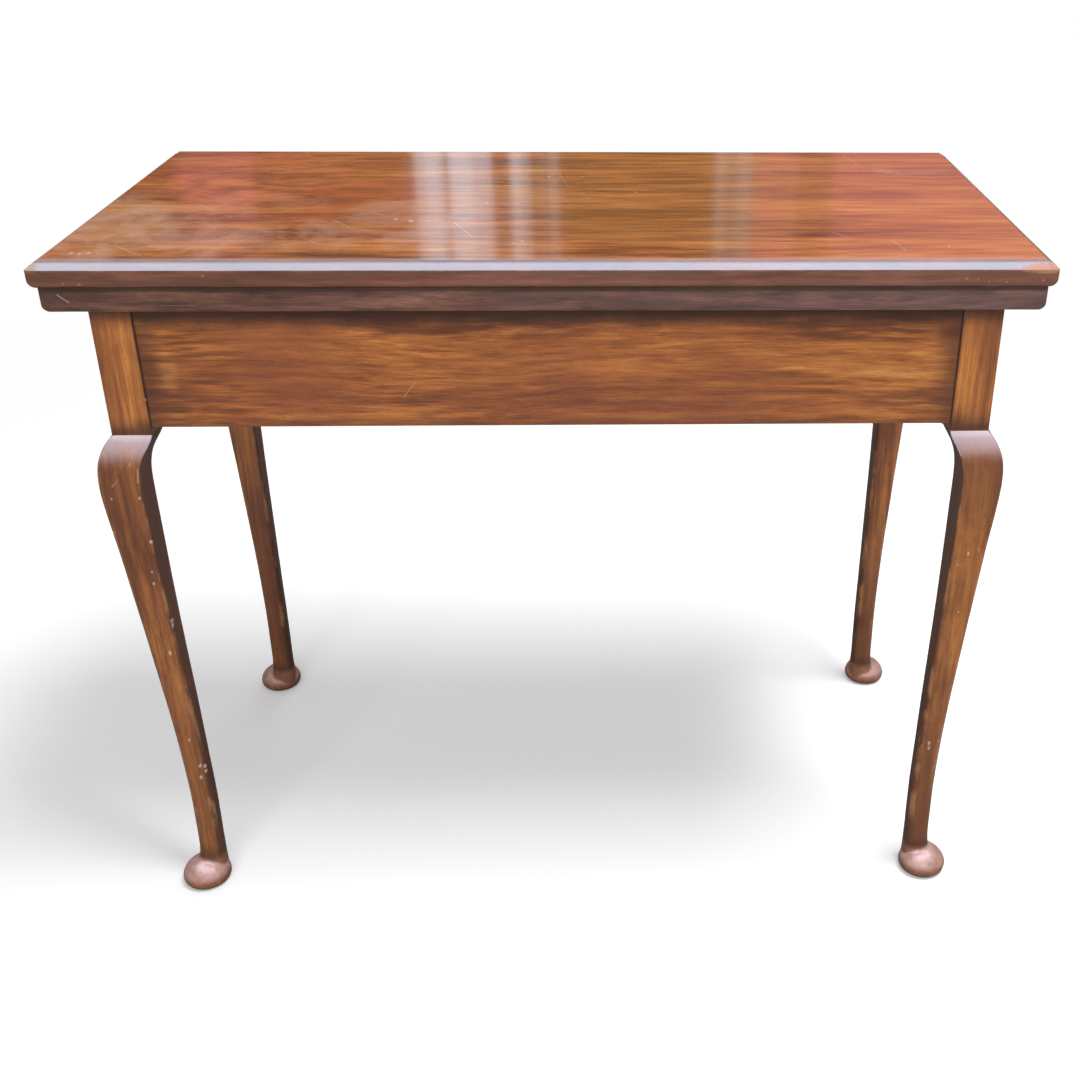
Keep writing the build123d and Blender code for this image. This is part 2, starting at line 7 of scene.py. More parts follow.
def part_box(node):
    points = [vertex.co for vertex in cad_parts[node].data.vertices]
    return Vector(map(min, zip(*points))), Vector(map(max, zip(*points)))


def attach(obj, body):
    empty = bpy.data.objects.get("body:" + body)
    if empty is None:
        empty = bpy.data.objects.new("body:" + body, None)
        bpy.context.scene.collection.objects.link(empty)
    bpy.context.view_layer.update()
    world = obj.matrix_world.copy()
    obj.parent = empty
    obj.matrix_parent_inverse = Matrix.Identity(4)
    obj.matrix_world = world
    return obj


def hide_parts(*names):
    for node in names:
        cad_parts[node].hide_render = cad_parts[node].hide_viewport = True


# Folding card table. Metres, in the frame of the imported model: X along the table, Y to its back, Z up.
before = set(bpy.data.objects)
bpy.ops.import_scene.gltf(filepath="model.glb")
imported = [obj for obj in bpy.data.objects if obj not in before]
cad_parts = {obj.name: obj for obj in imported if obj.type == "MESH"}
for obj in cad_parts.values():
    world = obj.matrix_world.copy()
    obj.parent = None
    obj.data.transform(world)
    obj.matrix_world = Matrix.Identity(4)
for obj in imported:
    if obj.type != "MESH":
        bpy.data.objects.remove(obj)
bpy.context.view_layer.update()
print("frame loaded:", len(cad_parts), "nodes")

# Places that the finishes follow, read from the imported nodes
earReach = 0.010
stileDrop = 0.008
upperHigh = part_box("upper_leaf")[1]
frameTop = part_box("front_rail")[1].z
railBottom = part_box("left_side_rail")[0].z
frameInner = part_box("front_right_leg")[0].x + earReach

# Camera, fitted to the corners of the leaves, the frame and the feet. Pixels are those of the photograph, from its
# top left corner
photo = {
    "place": (0.0532, -1.3831, 1.0825),
    "pitch": 0.47675,
    "yaw": 0.03861,
    "roll": 0.0102,
    "focalPixels": 1335.7,
    "centre": (656.7, 516.0),
    "pixels": 1080,
    "sensor": 36.0,
}


def turn(axis, angle):
    return Matrix.Rotation(angle, 3, axis)


# Turns the lens's directions, which are right, down and ahead, into the table's
def lensTurn():
    level = Matrix(((1, 0, 0), (0, 0, -1), (0, 1, 0)))
    toLens = turn("Z", photo["roll"]) @ turn("X", photo["pitch"]) @ turn("Y", -photo["yaw"]) @ level
    return toLens.transposed()


def makeCamera():
    data = bpy.data.cameras.new("photoCamera")
    camera = bpy.data.objects.new("photoCamera", data)
    bpy.context.scene.collection.objects.link(camera)
    rotation = lensTurn() @ Matrix.Diagonal((1, -1, -1))
    camera.matrix_world = Matrix.Translation(photo["place"]) @ rotation.to_4x4()
    data.sensor_width = photo["sensor"]
    data.lens = photo["focalPixels"] / photo["pixels"] * photo["sensor"]
    data.shift_x = 0.5 - photo["centre"][0] / photo["pixels"]
    data.shift_y = photo["centre"][1] / photo["pixels"] - 0.5
    bpy.context.scene.camera = camera


# The photographer's line of sight through a pixel
def sight(pixel):
    across, down = [(at - centre) / photo["focalPixels"] for at, centre in zip(pixel, photo["centre"])]
    return (lensTurn() @ Vector((across, down, 1.0))).normalized()


# The point of a flat face that a pixel shows. Axis is 1 for a face at one Y and 2 for a face at one Z
def onFace(pixel, axis, level):
    eye, course = Vector(photo["place"]), sight(pixel)
    return eye + course * ((level - eye[axis]) / course[axis])


def onTop(pixel):
    return onFace(pixel, 2, upperHigh.z)


# The point of a rounded piece that a pixel shows, or the nearest one where the pixel just misses the piece
def onPiece(pixel, surface, front):
    hit = surface.ray_cast(Vector(photo["place"]), sight(pixel))[0]
    return surface.find_nearest(onFace(pixel, 1, front))[0] if hit is None else hit


makeCamera()
print("camera placed")


# Shader maths. A Wire is one output socket, and sums written with wires add their Math nodes
class Wire:
    def __init__(self, finish, socket):
        self.finish = finish
        self.socket = socket

    def calculate(self, operation, *values):
        return self.finish.node("ShaderNodeMath", {"operation": operation}, dict(enumerate(values)))

    def __add__(self, other):
        return self.calculate("ADD", self, other)

    def __radd__(self, other):
        return self.calculate("ADD", other, self)

    def __sub__(self, other):
        return self.calculate("SUBTRACT", self, other)

    def __rsub__(self, other):
        return self.calculate("SUBTRACT", other, self)

    def __mul__(self, other):
        return self.calculate("MULTIPLY", self, other)

    def __rmul__(self, other):
        return self.calculate("MULTIPLY", other, self)

    def __abs__(self):
        return self.calculate("ABSOLUTE", self)

    def sine(self):
        return self.calculate("SINE", self)

    def larger(self, other):
        return self.calculate("MAXIMUM", self, other)

    def smaller(self, other):
        return self.calculate("MINIMUM", self, other)

    # 0 at low and 1 at high, or the other way round where low is the larger
    def between(self, low, high):
        start, end = (0.0, 1.0) if low < high else (1.0, 0.0)
        sockets = {0: self, 1: min(low, high), 2: max(low, high), 3: start, 4: end}
        return self.finish.node("ShaderNodeMapRange", {"interpolation_type": "SMOOTHSTEP"}, sockets)

    # Rises from 0 at start to 1 at full, and falls from 1 at ebb to 0 at end
    def band(self, start, full, ebb, end):
        return self.between(start, full) * self.between(end, ebb)


class Finish:
    def __init__(self, name, tree=None):
        if tree is None:
            self.material = bpy.data.materials.new(name)
            self.material.use_nodes = True
            tree = self.material.node_tree
        self.tree = tree
        tree.nodes.clear()

    # Adds a node of any kind: its settings come first, then the values or wires of its sockets
    def node(self, kind, settings=None, sockets=None, out=0):
        made = self.tree.nodes.new(kind)
        for key, value in (settings or {}).items():
            if key == "stops":
                self.setStops(made.color_ramp, value)
            else:
                setattr(made, key, value)
        for key, value in (sockets or {}).items():
            if isinstance(value, Wire):
                self.tree.links.new(value.socket, made.inputs[key])
            else:
                made.inputs[key].default_value = value
        return Wire(self, made.outputs[out]) if made.outputs else None

    def setStops(self, ramp, stops):
        while len(ramp.elements) < len(stops):
            ramp.elements.new(0.5)
        for element, (place, colour) in zip(ramp.elements, stops):
            element.position = place
            element.color = (*colour, 1.0)

    def place(self):
        return self.node("ShaderNodeTexCoord", out="Object")

    def split(self, vector):
        parts = self.node("ShaderNodeSeparateXYZ", sockets={0: vector})
        return [Wire(self, output) for output in parts.socket.node.outputs]

    def join(self, x, y, z):
        return self.node("ShaderNodeCombineXYZ", sockets={0: x, 1: y, 2: z})

    def noise(self, vector, scale, detail=2.0, roughness=0.5, distortion=0.0):
        sockets = {"Vector": vector, "Scale": scale, "Detail": detail}
        sockets.update({"Roughness": roughness, "Distortion": distortion})
        return self.node("ShaderNodeTexNoise", None, sockets)

    # Noise with its own scale along each axis
    def stretched(self, vector, scales, detail, roughness, distortion=0.0):
        return self.noise(self.vector("MULTIPLY", vector, scales), 1.0, detail, roughness, distortion)

    def ramp(self, value, stops):
        return self.node("ShaderNodeValToRGB", {"stops": stops}, {0: value})

    def mix(self, factor, first, second, blend="MIX"):
        first, second = [paint if isinstance(paint, Wire) else (*paint, 1.0) for paint in (first, second)]
        settings = {"data_type": "RGBA", "blend_type": blend}
        return self.node("ShaderNodeMix", settings, {0: factor, 6: first, 7: second}, 2)

    def vector(self, operation, first, second=None, out=0):
        sockets = {0: first} if second is None else {0: first, 1: second}
        return self.node("ShaderNodeVectorMath", {"operation": operation}, sockets, out)

    def principled(self, sockets):
        return self.surface(self.node("ShaderNodeBsdfPrincipled", None, sockets))

    def surface(self, shader):
        self.node("ShaderNodeOutputMaterial", sockets={0: shader})
        return self.material


# Wood. Each board reads its own part of one pattern, with the grain along one direction of the table
woods = {
    "top": {
        "stops": ((0.0, (0.095, 0.030, 0.012)), (0.28, (0.245, 0.080, 0.026)), (0.50, (0.440, 0.150, 0.043)),
                  (0.72, (0.610, 0.232, 0.066)), (1.0, (0.800, 0.400, 0.140))),
        "stain": (0.500, 0.125, 0.050),
        "stainedEnd": (0.02, -0.16),
        "figure": (1.30, 1.20, 0.5),
        "roughness": (0.060, 0.130),
        "coat": 0.25,
        "coatRoughness": 0.08,
        "streak": (0.090, 0.0090),
        "bend": 0.026,
        "depth": 0.0002,
    },
    "edge": {
        "stops": ((0.0, (0.040, 0.017, 0.012)), (0.5, (0.120, 0.050, 0.034)), (1.0, (0.280, 0.125, 0.078))),
        "stain": (0.105, 0.058, 0.048),
        "figure": (0.8, 1.4, 0.8),
        "roughness": (0.24, 0.40),
    },
    "apron": {
        "stops": ((0.0, (0.080, 0.021, 0.006)), (0.30, (0.228, 0.064, 0.012)), (0.50, (0.380, 0.114, 0.018)),
                  (0.70, (0.530, 0.180, 0.028)), (1.0, (0.750, 0.330, 0.065))),
        "stain": (0.280, 0.072, 0.025),
        "figure": (0.9, 1.2, 0.7),
        "roughness": (0.38, 0.58),
        "coat": 0.08,
        "coatRoughness": 0.22,
        "streak": (0.065, 0.0058),
        "bend": 0.030,
        "depth": 0.0004,
    },
    "leg": {
        "stops": ((0.0, (0.065, 0.022, 0.010)), (0.30, (0.180, 0.058, 0.019)), (0.50, (0.320, 0.104, 0.022)),
                  (0.70, (0.470, 0.172, 0.034)), (1.0, (0.680, 0.325, 0.080))),
        "stain": (0.235, 0.066, 0.025),
        "figure": (0.9, 0.9, 0.5),
        "roughness": (0.30, 0.42),
        "coat": 0.4,
        "coatRoughness": 0.22,
        "streak": (0.170, 0.0048),
        "bend": 0.006,
        "depth": 0.0003,
    },
    "oak": {
        "stops": ((0.0, (0.14, 0.082, 0.042)), (0.5, (0.29, 0.185, 0.100)), (1.0, (0.44, 0.305, 0.180))),
        "stain": (0.20, 0.125, 0.070),
        "figure": (1.1, 1.3, 0.9),
        "roughness": (0.62, 0.82),
        "coat": 0.0,
        "coatRoughness": 0.22,
        "streak": (0.160, 0.0040),
        "bend": 0.006,
        "depth": 0.0006,
    },
}
# Length, width and detail of the lines that all woods share
woodLines = {"zone": (0.40, 0.045, 2.0), "fibre": (0.030, 0.0011, 2.0), "pore": (0.007, 0.0004, 1.0)}
waves = {"along": 2.4, "across": 6.0}
poreTint = (0.30, 0.22, 0.20)
polish = {"bump": 0.12, "ior": 1.5}
# Dark colours for dirt, and for painted shade where the wood lies in shadow
grimeAndShade = {"colour": (0.034, 0.015, 0.010), "shade": (0.095, 0.029, 0.013)}


# The figure of a board: broad zones, streaks, fibres and short dark pores. Along is 0, 1 or 2 for X, Y or Z
def grain(finish, along, shift, wood):
    place = finish.place()
    parts = finish.split(finish.vector("ADD", place, shift))
    u = parts[along]
    v, w = [parts[index] for index in range(3) if index != along]
    slow = finish.join(u * waves["along"], v * waves["across"], w * waves["across"])
    bend = (finish.noise(slow, 1.0) - 0.5) * wood["bend"]
    v = v + bend
    w = w + bend

    def lines(length, width, detail):
        stretched = finish.join(u * (1.0 / length), v * (1.0 / width), w * (1.0 / width))
        return finish.noise(stretched, 1.0, detail, 0.58)

    return {
        "place": place,
        "zone": lines(*woodLines["zone"]),
        "streak": lines(*wood["streak"], 4.0),
        "fibre": lines(*woodLines["fibre"]),
        "pore": lines(*woodLines["pore"]).between(0.60, 0.72),
    }


# Colour, roughness and height of one kind of wood, from the grain of a board
def woodLayers(finish, wood, lines):
    byZone, byStreak, byFibre = wood["figure"]
    figure = (lines["zone"] - 0.5) * byZone + (lines["streak"] - 0.5) * byStreak
    figure = figure + (lines["fibre"] - 0.5) * byFibre + 0.5
    colour = finish.ramp(figure, wood["stops"])
    cloud = finish.noise(lines["place"], 6.0, 3.0).between(0.40, 0.66)
    if "stainedEnd" in wood:
        cloud = cloud * finish.split(lines["place"])[0].between(*wood["stainedEnd"])
    colour = finish.mix(cloud * 0.55, colour, wood["stain"])
    colour = finish.mix(lines["pore"] * 0.5, colour, poreTint, "MULTIPLY")
    low, high = wood["roughness"]
    uneven = finish.noise(lines["place"], 14.0, 4.0) + (lines["fibre"] - 0.5) * 0.5
    height = 0.6 * lines["fibre"] + 0.3 * lines["streak"] - 0.5 * lines["pore"]
    return colour, low + uneven * (high - low), height


def polishedWood(finish, wood, colour, rough, height, polished=1.0):
    relief = {"Strength": polish["bump"], "Distance": wood["depth"], "Height": height}
    return finish.principled({
        "Base Color": colour,
        "Roughness": rough,
        "Normal": finish.node("ShaderNodeBump", None, relief),
        "IOR": polish["ior"],
        "Coat Weight": wood["coat"] * polished,
        "Coat Roughness": wood["coatRoughness"],
    })


# A worn patch: 1 inside an ellipsoid and 0 outside. Its border wanders with a noise of the given scale
patchBorder = 0.97


def patch(finish, place, centre, radii, ragged, scale, soft=0.15):
    away = finish.vector("DIVIDE", finish.vector("SUBTRACT", place, centre), radii)
    reach = finish.vector("LENGTH", away, out="Value")
    reach = reach + (finish.noise(place, scale, 3.0) - 0.5) * (2.0 * ragged)
    return reach.between(patchBorder + soft, patchBorder - soft)


# A scratch: 1 along the line from start to end, and 0 at its width from the line
def scratch(finish, place, start, end, width):
    course = end - start
    away = finish.vector("SUBTRACT", place, tuple(start))
    share = finish.vector("DOT_PRODUCT", away, tuple(course / course.length_squared), out="Value")
    share = share.larger(0.0).smaller(1.0)
    nearest = finish.node("ShaderNodeVectorMath", {"operation": "SCALE"}, {0: tuple(course), "Scale": share})
    reach = finish.vector("LENGTH", finish.vector("SUBTRACT", away, nearest), out="Value")
    return reach.between(width, 0.35 * width)


# Top. Knocks, scratches and worn polish. Areas have a middle and a reach in X and Y
topWear = {
    "scratchColour": (0.80, 0.64, 0.53),
    # The two ends of each scratch in pixels, its width and its strength
    "scratchPixels": (
        ((116, 246), (141, 256), 0.0006, 0.40), ((394, 220), (452, 220.4), 0.0009, 0.32),
        ((453.5, 222), (472, 236.5), 0.0005, 0.55), ((892, 240), (907, 251), 0.0005, 0.45),
        ((832, 232), (853, 239), 0.0005, 0.40), ((843, 155), (864, 169), 0.0006, 0.32),
        ((580, 192), (590, 199), 0.0004, 0.40), ((558.5, 173), (568, 186), 0.0004, 0.30),
    ),
    # The middle of each speck in pixels and its radius
    "speckPixels": (
        ((411, 221), 0.0026), ((396, 219), 0.0018), ((487, 203), 0.0016), ((522, 241), 0.0013),
        ((513, 243), 0.0012), ((549, 176.5), 0.0014), ((582, 177), 0.0014), ((949.5, 246), 0.0013),
        ((308, 152), 0.0016), ((71, 253), 0.0020), ((79.2, 253.7), 0.0016), ((89, 253), 0.0020),
        ((635.6, 192.2), 0.0013),
    ),
    "hazeColour": (0.62, 0.34, 0.24),
    "hazes": (
        ((-0.385, -0.165), (0.110, 0.075), 0.80), ((-0.235, -0.145), (0.140, 0.060), 0.60),
        ((-0.320, -0.040), (0.100, 0.050), 0.45), ((0.388, 0.121), (0.045, 0.020), 0.60),
        ((-0.130, -0.060), (0.090, 0.070), 0.55), ((-0.425, -0.110), (0.060, 0.110), 1.00),
    ),
    "blush": ((-0.330, 0.090), (0.115, 0.120)),
    "blushColour": (0.660, 0.200, 0.080),
    "golden": ((0.120, 0.060), (0.165, 0.260)),
    "goldenColour": (0.420, 0.190, 0.045),
    "curlyEnd": (-0.10, -0.26),
    "curlColour": (0.150, 0.052, 0.024),
    "streaky": (-0.30, -0.10, 0.24, 0.36),
    "calmEnd": (0.22, 0.36),
    "calmColour": (0.505, 0.178, 0.075),
    "wornEnd": ((-0.425, -0.105), (0.058, 0.095)),
    "wornColour": (0.640, 0.340, 0.175),
    "rim": (0.0090, 0.0027),
    "rimColour": (0.600, 0.270, 0.130),
    "hairlines": (
        ((0.020, 0.040), (0.050, 0.090)), ((0.060, 0.020), (0.045, 0.060)), ((-0.30, -0.10), (0.16, 0.10)),
    ),
    "hairlineSlants": (0.9, -0.7),
    "depth": 0.05,
}


def topPatch(finish, place, area, *look):
    centre, reach = area
    return patch(finish, place, (*centre, upperHigh.z), (*reach, topWear["depth"]), *look)


# Fine hairline scratches that run across the top at a slant
def hairlines(finish, place, slant):
    sockets = {"Vector": place, "Angle": slant}
    turned = finish.node("ShaderNodeVectorRotate", {"rotation_type": "Z_AXIS"}, sockets)
    return finish.stretched(turned, (9.0, 900.0, 1.0), 1.0, 0.5).between(0.70, 0.76)


def topCuts(finish, place):
    worn = 0.0
    for area in topWear["hairlines"]:
        worn = topPatch(finish, place, area, 0.5, 25.0).larger(worn)
    first, second = [hairlines(finish, place, slant) for slant in topWear["hairlineSlants"]]
    cuts = first.larger(second) * worn * 0.32
    for start, end, width, strength in topWear["scratchPixels"]:
        cuts = cuts.larger(scratch(finish, place, onTop(start), onTop(end), width) * strength)
    for pixel, radius in topWear["speckPixels"]:
        speck = patch(finish, place, onTop(pixel), (radius, radius * 1.4, 0.01), 0.9, 500.0)
        cuts = cuts.larger(speck * 0.45)
    return cuts


# The figure is curly at the left end and straighter to the right, where the wood is more golden
def topFigure(finish, place, colour):
    x = finish.split(place)[0]
    blush = topPatch(finish, place, topWear["blush"], 0.5, 9.0)
    swirl = finish.stretched(place, (16.0, 34.0, 1.0), 3.0, 0.55, 1.6).between(0.42, 0.62)
    colour = finish.mix(blush * (0.30 + 0.50 * swirl), colour, topWear["blushColour"])
    curls = finish.stretched(place, (10.0, 19.0, 1.0), 3.0, 0.55, 1.3).between(0.46, 0.66)
    colour = finish.mix(curls * x.between(*topWear["curlyEnd"]) * 0.46, colour, topWear["curlColour"])
    streaks = finish.stretched(place, (13.0, 120.0, 1.0), 3.0, 0.6).between(0.54, 0.68)
    colour = finish.mix(streaks * x.band(*topWear["streaky"]) * 0.34, colour, topWear["curlColour"])
    golden = topPatch(finish, place, topWear["golden"], 0.3, 6.0)
    colour = finish.mix(golden * 0.28, colour, topWear["goldenColour"])
    colour = finish.mix(x.between(*topWear["calmEnd"]) * 0.36, colour, topWear["calmColour"])
    faded = topPatch(finish, place, topWear["wornEnd"], 0.6, 22.0, 0.60)
    colour = finish.mix(faded * 0.42, colour, topWear["wornColour"])
    fromEnd = upperHigh.x - abs(x) + (finish.noise(place, 60.0, 4.0, 0.6) - 0.5) * 0.010
    return finish.mix(fromEnd.between(*topWear["rim"]) * 0.55, colour, topWear["rimColour"])


def topLayers(finish, place, colour, rough):
    cuts = topCuts(finish, place)
    colour = topFigure(finish, place, colour)
    cloud = finish.noise(place, 17.0, 5.0, 0.62, 0.8).between(0.38, 0.66)
    haze = 0.0
    for *area, strength in topWear["hazes"]:
        haze = (topPatch(finish, place, area, 0.45, 18.0) * cloud * strength).larger(haze)
    colour = finish.mix(haze * 0.6, colour, topWear["hazeColour"])
    colour = finish.mix(cuts, colour, topWear["scratchColour"])
    return colour, rough + haze * 0.10 + cuts * 0.25


# Edges of the leaves. Depth is measured down from the top of a leaf, and lift up from its bottom
edgeWear = {
    # Arris lines are partly rubbed wood and partly a painted highlight where light catches the arris
    "arrisLift": (0.0030, 0.0012),
    "arrisWearAndHighlightColour": (0.420, 0.200, 0.120),
    "mouldingArris": (0.0062, 0.0070, 0.0072, 0.0088),
    "mouldingWidth": 0.010,
    "mouldedDepth": (0.0105, 0.0085),
    "mouldedEnd": (0.012, 0.008),
    # Painted reflection: the moulding strip takes a pale bluish grey above this depth
    "reflectionDepth": (0.0066, 0.0078),
    "greyishTint": (0.150, 0.145, 0.185),
    "belowColour": (0.330, 0.112, 0.058),
    "endColour": (0.210, 0.085, 0.045),
    # Painted highlight along the rounding below the moulding
    "swellHighlightDepth": (0.0140, 0.0172, 0.0192, 0.0222),
    "swellHighlightAcross": (-0.28, -0.12, 0.10, 0.24),
    "swellHighlightTint": (1.46, 1.38, 1.32),
    "darkerEnd": (-0.10, -0.30),
    "darkerTint": (0.82, 0.80, 0.75),
    "topFaceDepth": (0.0012, 0.0004),
    "underFaceLift": (0.0002, 0.00005),
    # Painted reflection of the sky on the top face along the moulding
    "mouldingReflection": (0.0075, 0.0010),
    "mouldingReflectionColour": (0.520, 0.430, 0.460),
    # Painted shadow along the seam between the leaves
    "upperSeamShadowLift": (0.0022, 0.0004),
    "lowerSeamShadowDepth": (0.0054, 0.0024),
    "rubbedCornerPixel": (1046.6, 268.4),
    "rubbedCornerReach": (0.0210, 0.0085, 0.0045),
    "bareColour": (0.420, 0.175, 0.090),
    # The middle of each speck in pixels and its radius
    "speckPixels": (
        ((63, 284), 0.0012), ((79, 284.7), 0.0020), ((203, 275.5), 0.0014), ((43, 288.4), 0.0014),
        ((967, 278), 0.0012), ((978, 278), 0.0010), ((989, 282), 0.0012), ((1007, 282), 0.0012),
        ((1043, 280), 0.0014), ((175, 286), 0.0012),
    ),
    "speckInset": 0.00175,
    "speckColour": (0.600, 0.270, 0.130),
    # The two ends of each cut in pixels, its width and its strength
    "cutPixels": (((57, 295), (68.5, 302.5), 0.0006, 1.0), ((160, 306), (196, 306), 0.0008, 0.6)),
    "cutColour": (0.620, 0.480, 0.400),
    # Painted shade on the lower leaf's ledge under the upper leaf, measured in from its front and ends
    "hiddenShade": (0.014, 0.016),
    "lowerFaceDepth": (0.0002, 0.00005),
    "lowerTint": (1.25, 1.27, 1.32),
    "lowerTinted": (-0.36, -0.06),
    "lowerGreyish": (-0.10, 0.42),
}


# Edge of the upper leaf: a pale strip on its moulding, which is a painted reflection, a painted highlight along
# the swelling below it, specks and a rubbed corner
def upperEdge(finish, place, low, high, colour, rough):
    x, z = finish.split(place)[::2]
    depth = high.z - z
    for pixel, radius in edgeWear["speckPixels"]:
        middle = onFace(pixel, 1, low.y + edgeWear["speckInset"])
        mark = patch(finish, place, (middle.x, low.y, middle.z), (radius, 0.004, radius * 0.8), 0.3, 900.0)
        colour = finish.mix(mark * 0.55, colour, edgeWear["speckColour"])
    moulded = (high.x - abs(x)).between(*edgeWear["mouldedEnd"]) * depth.between(*edgeWear["mouldedDepth"])
    colour = finish.mix(moulded * 0.6, colour, edgeWear["endColour"])
    below = depth.between(*edgeWear["reflectionDepth"])
    colour = finish.mix(below * 0.25, colour, edgeWear["belowColour"])
    # Painted reflection of the sky on the moulding strip
    colour = finish.mix((1.0 - below) * (1.0 - moulded) * 0.42, colour, edgeWear["greyishTint"])
    middle = onFace(edgeWear["rubbedCornerPixel"], 1, low.y)
    bare = patch(finish, place, middle, edgeWear["rubbedCornerReach"], 0.5, 260.0)
    colour = finish.mix(bare * 0.8, colour, edgeWear["bareColour"])
    # Painted highlight along the rounding below the moulding, strongest in the middle
    swellHighlight = depth.band(*edgeWear["swellHighlightDepth"]) * (0.25 + 0.75 * x.band(*edgeWear["swellHighlightAcross"]))
    colour = finish.mix(swellHighlight, colour, edgeWear["swellHighlightTint"], "MULTIPLY")
    colour = finish.mix(x.between(*edgeWear["darkerEnd"]), colour, edgeWear["darkerTint"], "MULTIPLY")
    return colour, rough + bare * 0.45 + moulded * 0.2


def lowerEdge(finish, place, low, colour):
    x = finish.split(place)[0]
    cuts = 0.0
    for start, end, width, strength in edgeWear["cutPixels"]:
        cut = scratch(finish, place, onFace(start, 1, low.y), onFace(end, 1, low.y), width)
        cuts = (cut * strength).larger(cuts)
    colour = finish.mix(cuts * 0.6, colour, edgeWear["cutColour"])
    # The lower leaf's edge turns paler and bluer towards the right
    colour = finish.mix(x.between(*edgeWear["lowerTinted"]), colour, edgeWear["lowerTint"], "MULTIPLY")
    return finish.mix(x.between(*edgeWear["lowerGreyish"]) * 0.16, colour, edgeWear["greyishTint"])


def leafFinish(name, node, shift):
    low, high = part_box(node)
    finish = Finish(name)
    lines = grain(finish, 0, shift, woods["top"])
    place = lines["place"]
    colour, rough, height = woodLayers(finish, woods["top"], lines)
    edgeColour, edgeRough = woodLayers(finish, woods["edge"], lines)[:2]
    x, y, z = finish.split(place)
    depth, lift = high.z - z, z - low.z
    smudge = finish.stretched(place, (22.0, 22.0, 90.0), 4.0, 0.6).between(0.50, 0.68)
    edgeColour = finish.mix(smudge * 0.55, edgeColour, grimeAndShade["colour"])
    rubbed = finish.stretched(place, (26.0, 26.0, 8.0), 4.0, 0.65).between(0.46, 0.62)
    # A paler line along the arrises: partly rubbed wood, partly a painted highlight
    arrisWearAndHighlight = lift.between(*edgeWear["arrisLift"])
    if node == "upper_leaf":
        arrisWearAndHighlight = arrisWearAndHighlight.larger(depth.band(*edgeWear["mouldingArris"]))
        seamShadow = lift.between(*edgeWear["upperSeamShadowLift"])
        face = depth.between(*edgeWear["topFaceDepth"]).larger(lift.between(*edgeWear["underFaceLift"]))
        colour, rough = topLayers(finish, place, colour, rough)
        edgeColour, edgeRough = upperEdge(finish, place, low, high, edgeColour, edgeRough)
        # Painted reflection: a pale, cool colour on the top face along the moulding
        mouldingReflection = (y - (low.y + edgeWear["mouldingWidth"])).between(*edgeWear["mouldingReflection"])
        colour = finish.mix(mouldingReflection * 0.45, colour, edgeWear["mouldingReflectionColour"])
    else:
        # The lower leaf's top face keeps the darker edge colour near its front and ends: painted shade on the
        # ledge under the upper leaf
        inside = (high.x - abs(x)).between(*edgeWear["hiddenShade"]) * (y - low.y).between(*edgeWear["hiddenShade"])
        seamShadow = depth.between(*edgeWear["lowerSeamShadowDepth"])
        face = depth.between(*edgeWear["lowerFaceDepth"]) * inside
        edgeColour = lowerEdge(finish, place, low, edgeColour)
    # Paler arris line: rubbed wood and painted highlight
    edgeColour = finish.mix(arrisWearAndHighlight * rubbed * 0.30, edgeColour, edgeWear["arrisWearAndHighlightColour"])
    # Painted shadow in the seam between the two leaves
    edgeColour = finish.mix(seamShadow * 0.80, edgeColour, grimeAndShade["colour"])
    colour = finish.mix(face, edgeColour, colour)
    return polishedWood(finish, woods["top"], colour, edgeRough + (rough - edgeRough) * face, height)


# Rails. Painted shade darkens them under the leaf; they are darker towards their ends and along the bottom, and
# old polish and dust darken the joints
railWear = {
    "paleColour": (0.62, 0.29, 0.085),
    # Middles in pixels, with a reach in X and Z
    "palePixels": (
        ((940, 361.5), (0.0110, 0.0045)), ((167.5, 374), (0.0090, 0.0200)), ((899.5, 372), (0.060, 0.005)),
    ),
    "knotPixel": (497, 415),
    "knotReach": (0.0100, 0.0040),
    # Middles in X and Z, with a reach
    "smudges": (
        ((-0.338, 0.652), (0.042, 0.017)), ((-0.350, 0.588), (0.026, 0.012)),
        ((0.300, 0.664), (0.080, 0.010)), ((-0.070, 0.666), (0.090, 0.008)),
        ((-0.110, 0.585), (0.060, 0.006)), ((0.355, 0.592), (0.035, 0.010)),
    ),
    "scratchColour": (0.72, 0.44, 0.24),
    "scratchPixels": ((415, 383), (404, 396.5)),
    "scratchWidth": 0.0006,
    "depth": 0.02,
    # Painted shade under the leaf's overhang
    "paintedShadeUnderLeaf": (0.030, 0.012),
    "ends": (0.030, 0.002),
    "joint": (0.00240, 0.00036),
    "foot": (0.010, 0.0),
}


# The front rail's paler spots, smudges, knot and scratch
def frontMarks(finish, lines, colour, front):
    place = lines["place"]

    def spot(centre, reach, *look):
        across, up = reach
        return patch(finish, place, centre, (across, railWear["depth"], up), *look)

    for pixel, reach in railWear["palePixels"]:
        pale = spot(onFace(pixel, 1, front), reach, 0.6, 40.0, 0.60)
        colour = finish.mix(pale * lines["streak"].between(0.36, 0.62) * 0.42, colour, railWear["paleColour"])
    for (x, z), reach in railWear["smudges"]:
        smudge = spot((x, front, z), reach, 0.5, 30.0, 0.70)
        colour = finish.mix(smudge * lines["streak"].between(0.64, 0.40) * 0.62, colour, grimeAndShade["shade"])
    knot = spot(onFace(railWear["knotPixel"], 1, front), railWear["knotReach"], 0.9, 120.0)
    colour = finish.mix(knot * 0.35, colour, grimeAndShade["shade"])
    start, end = [onFace(pixel, 1, front) for pixel in railWear["scratchPixels"]]
    cut = scratch(finish, place, start, end, railWear["scratchWidth"])
    return finish.mix(cut * 0.3, colour, railWear["scratchColour"])


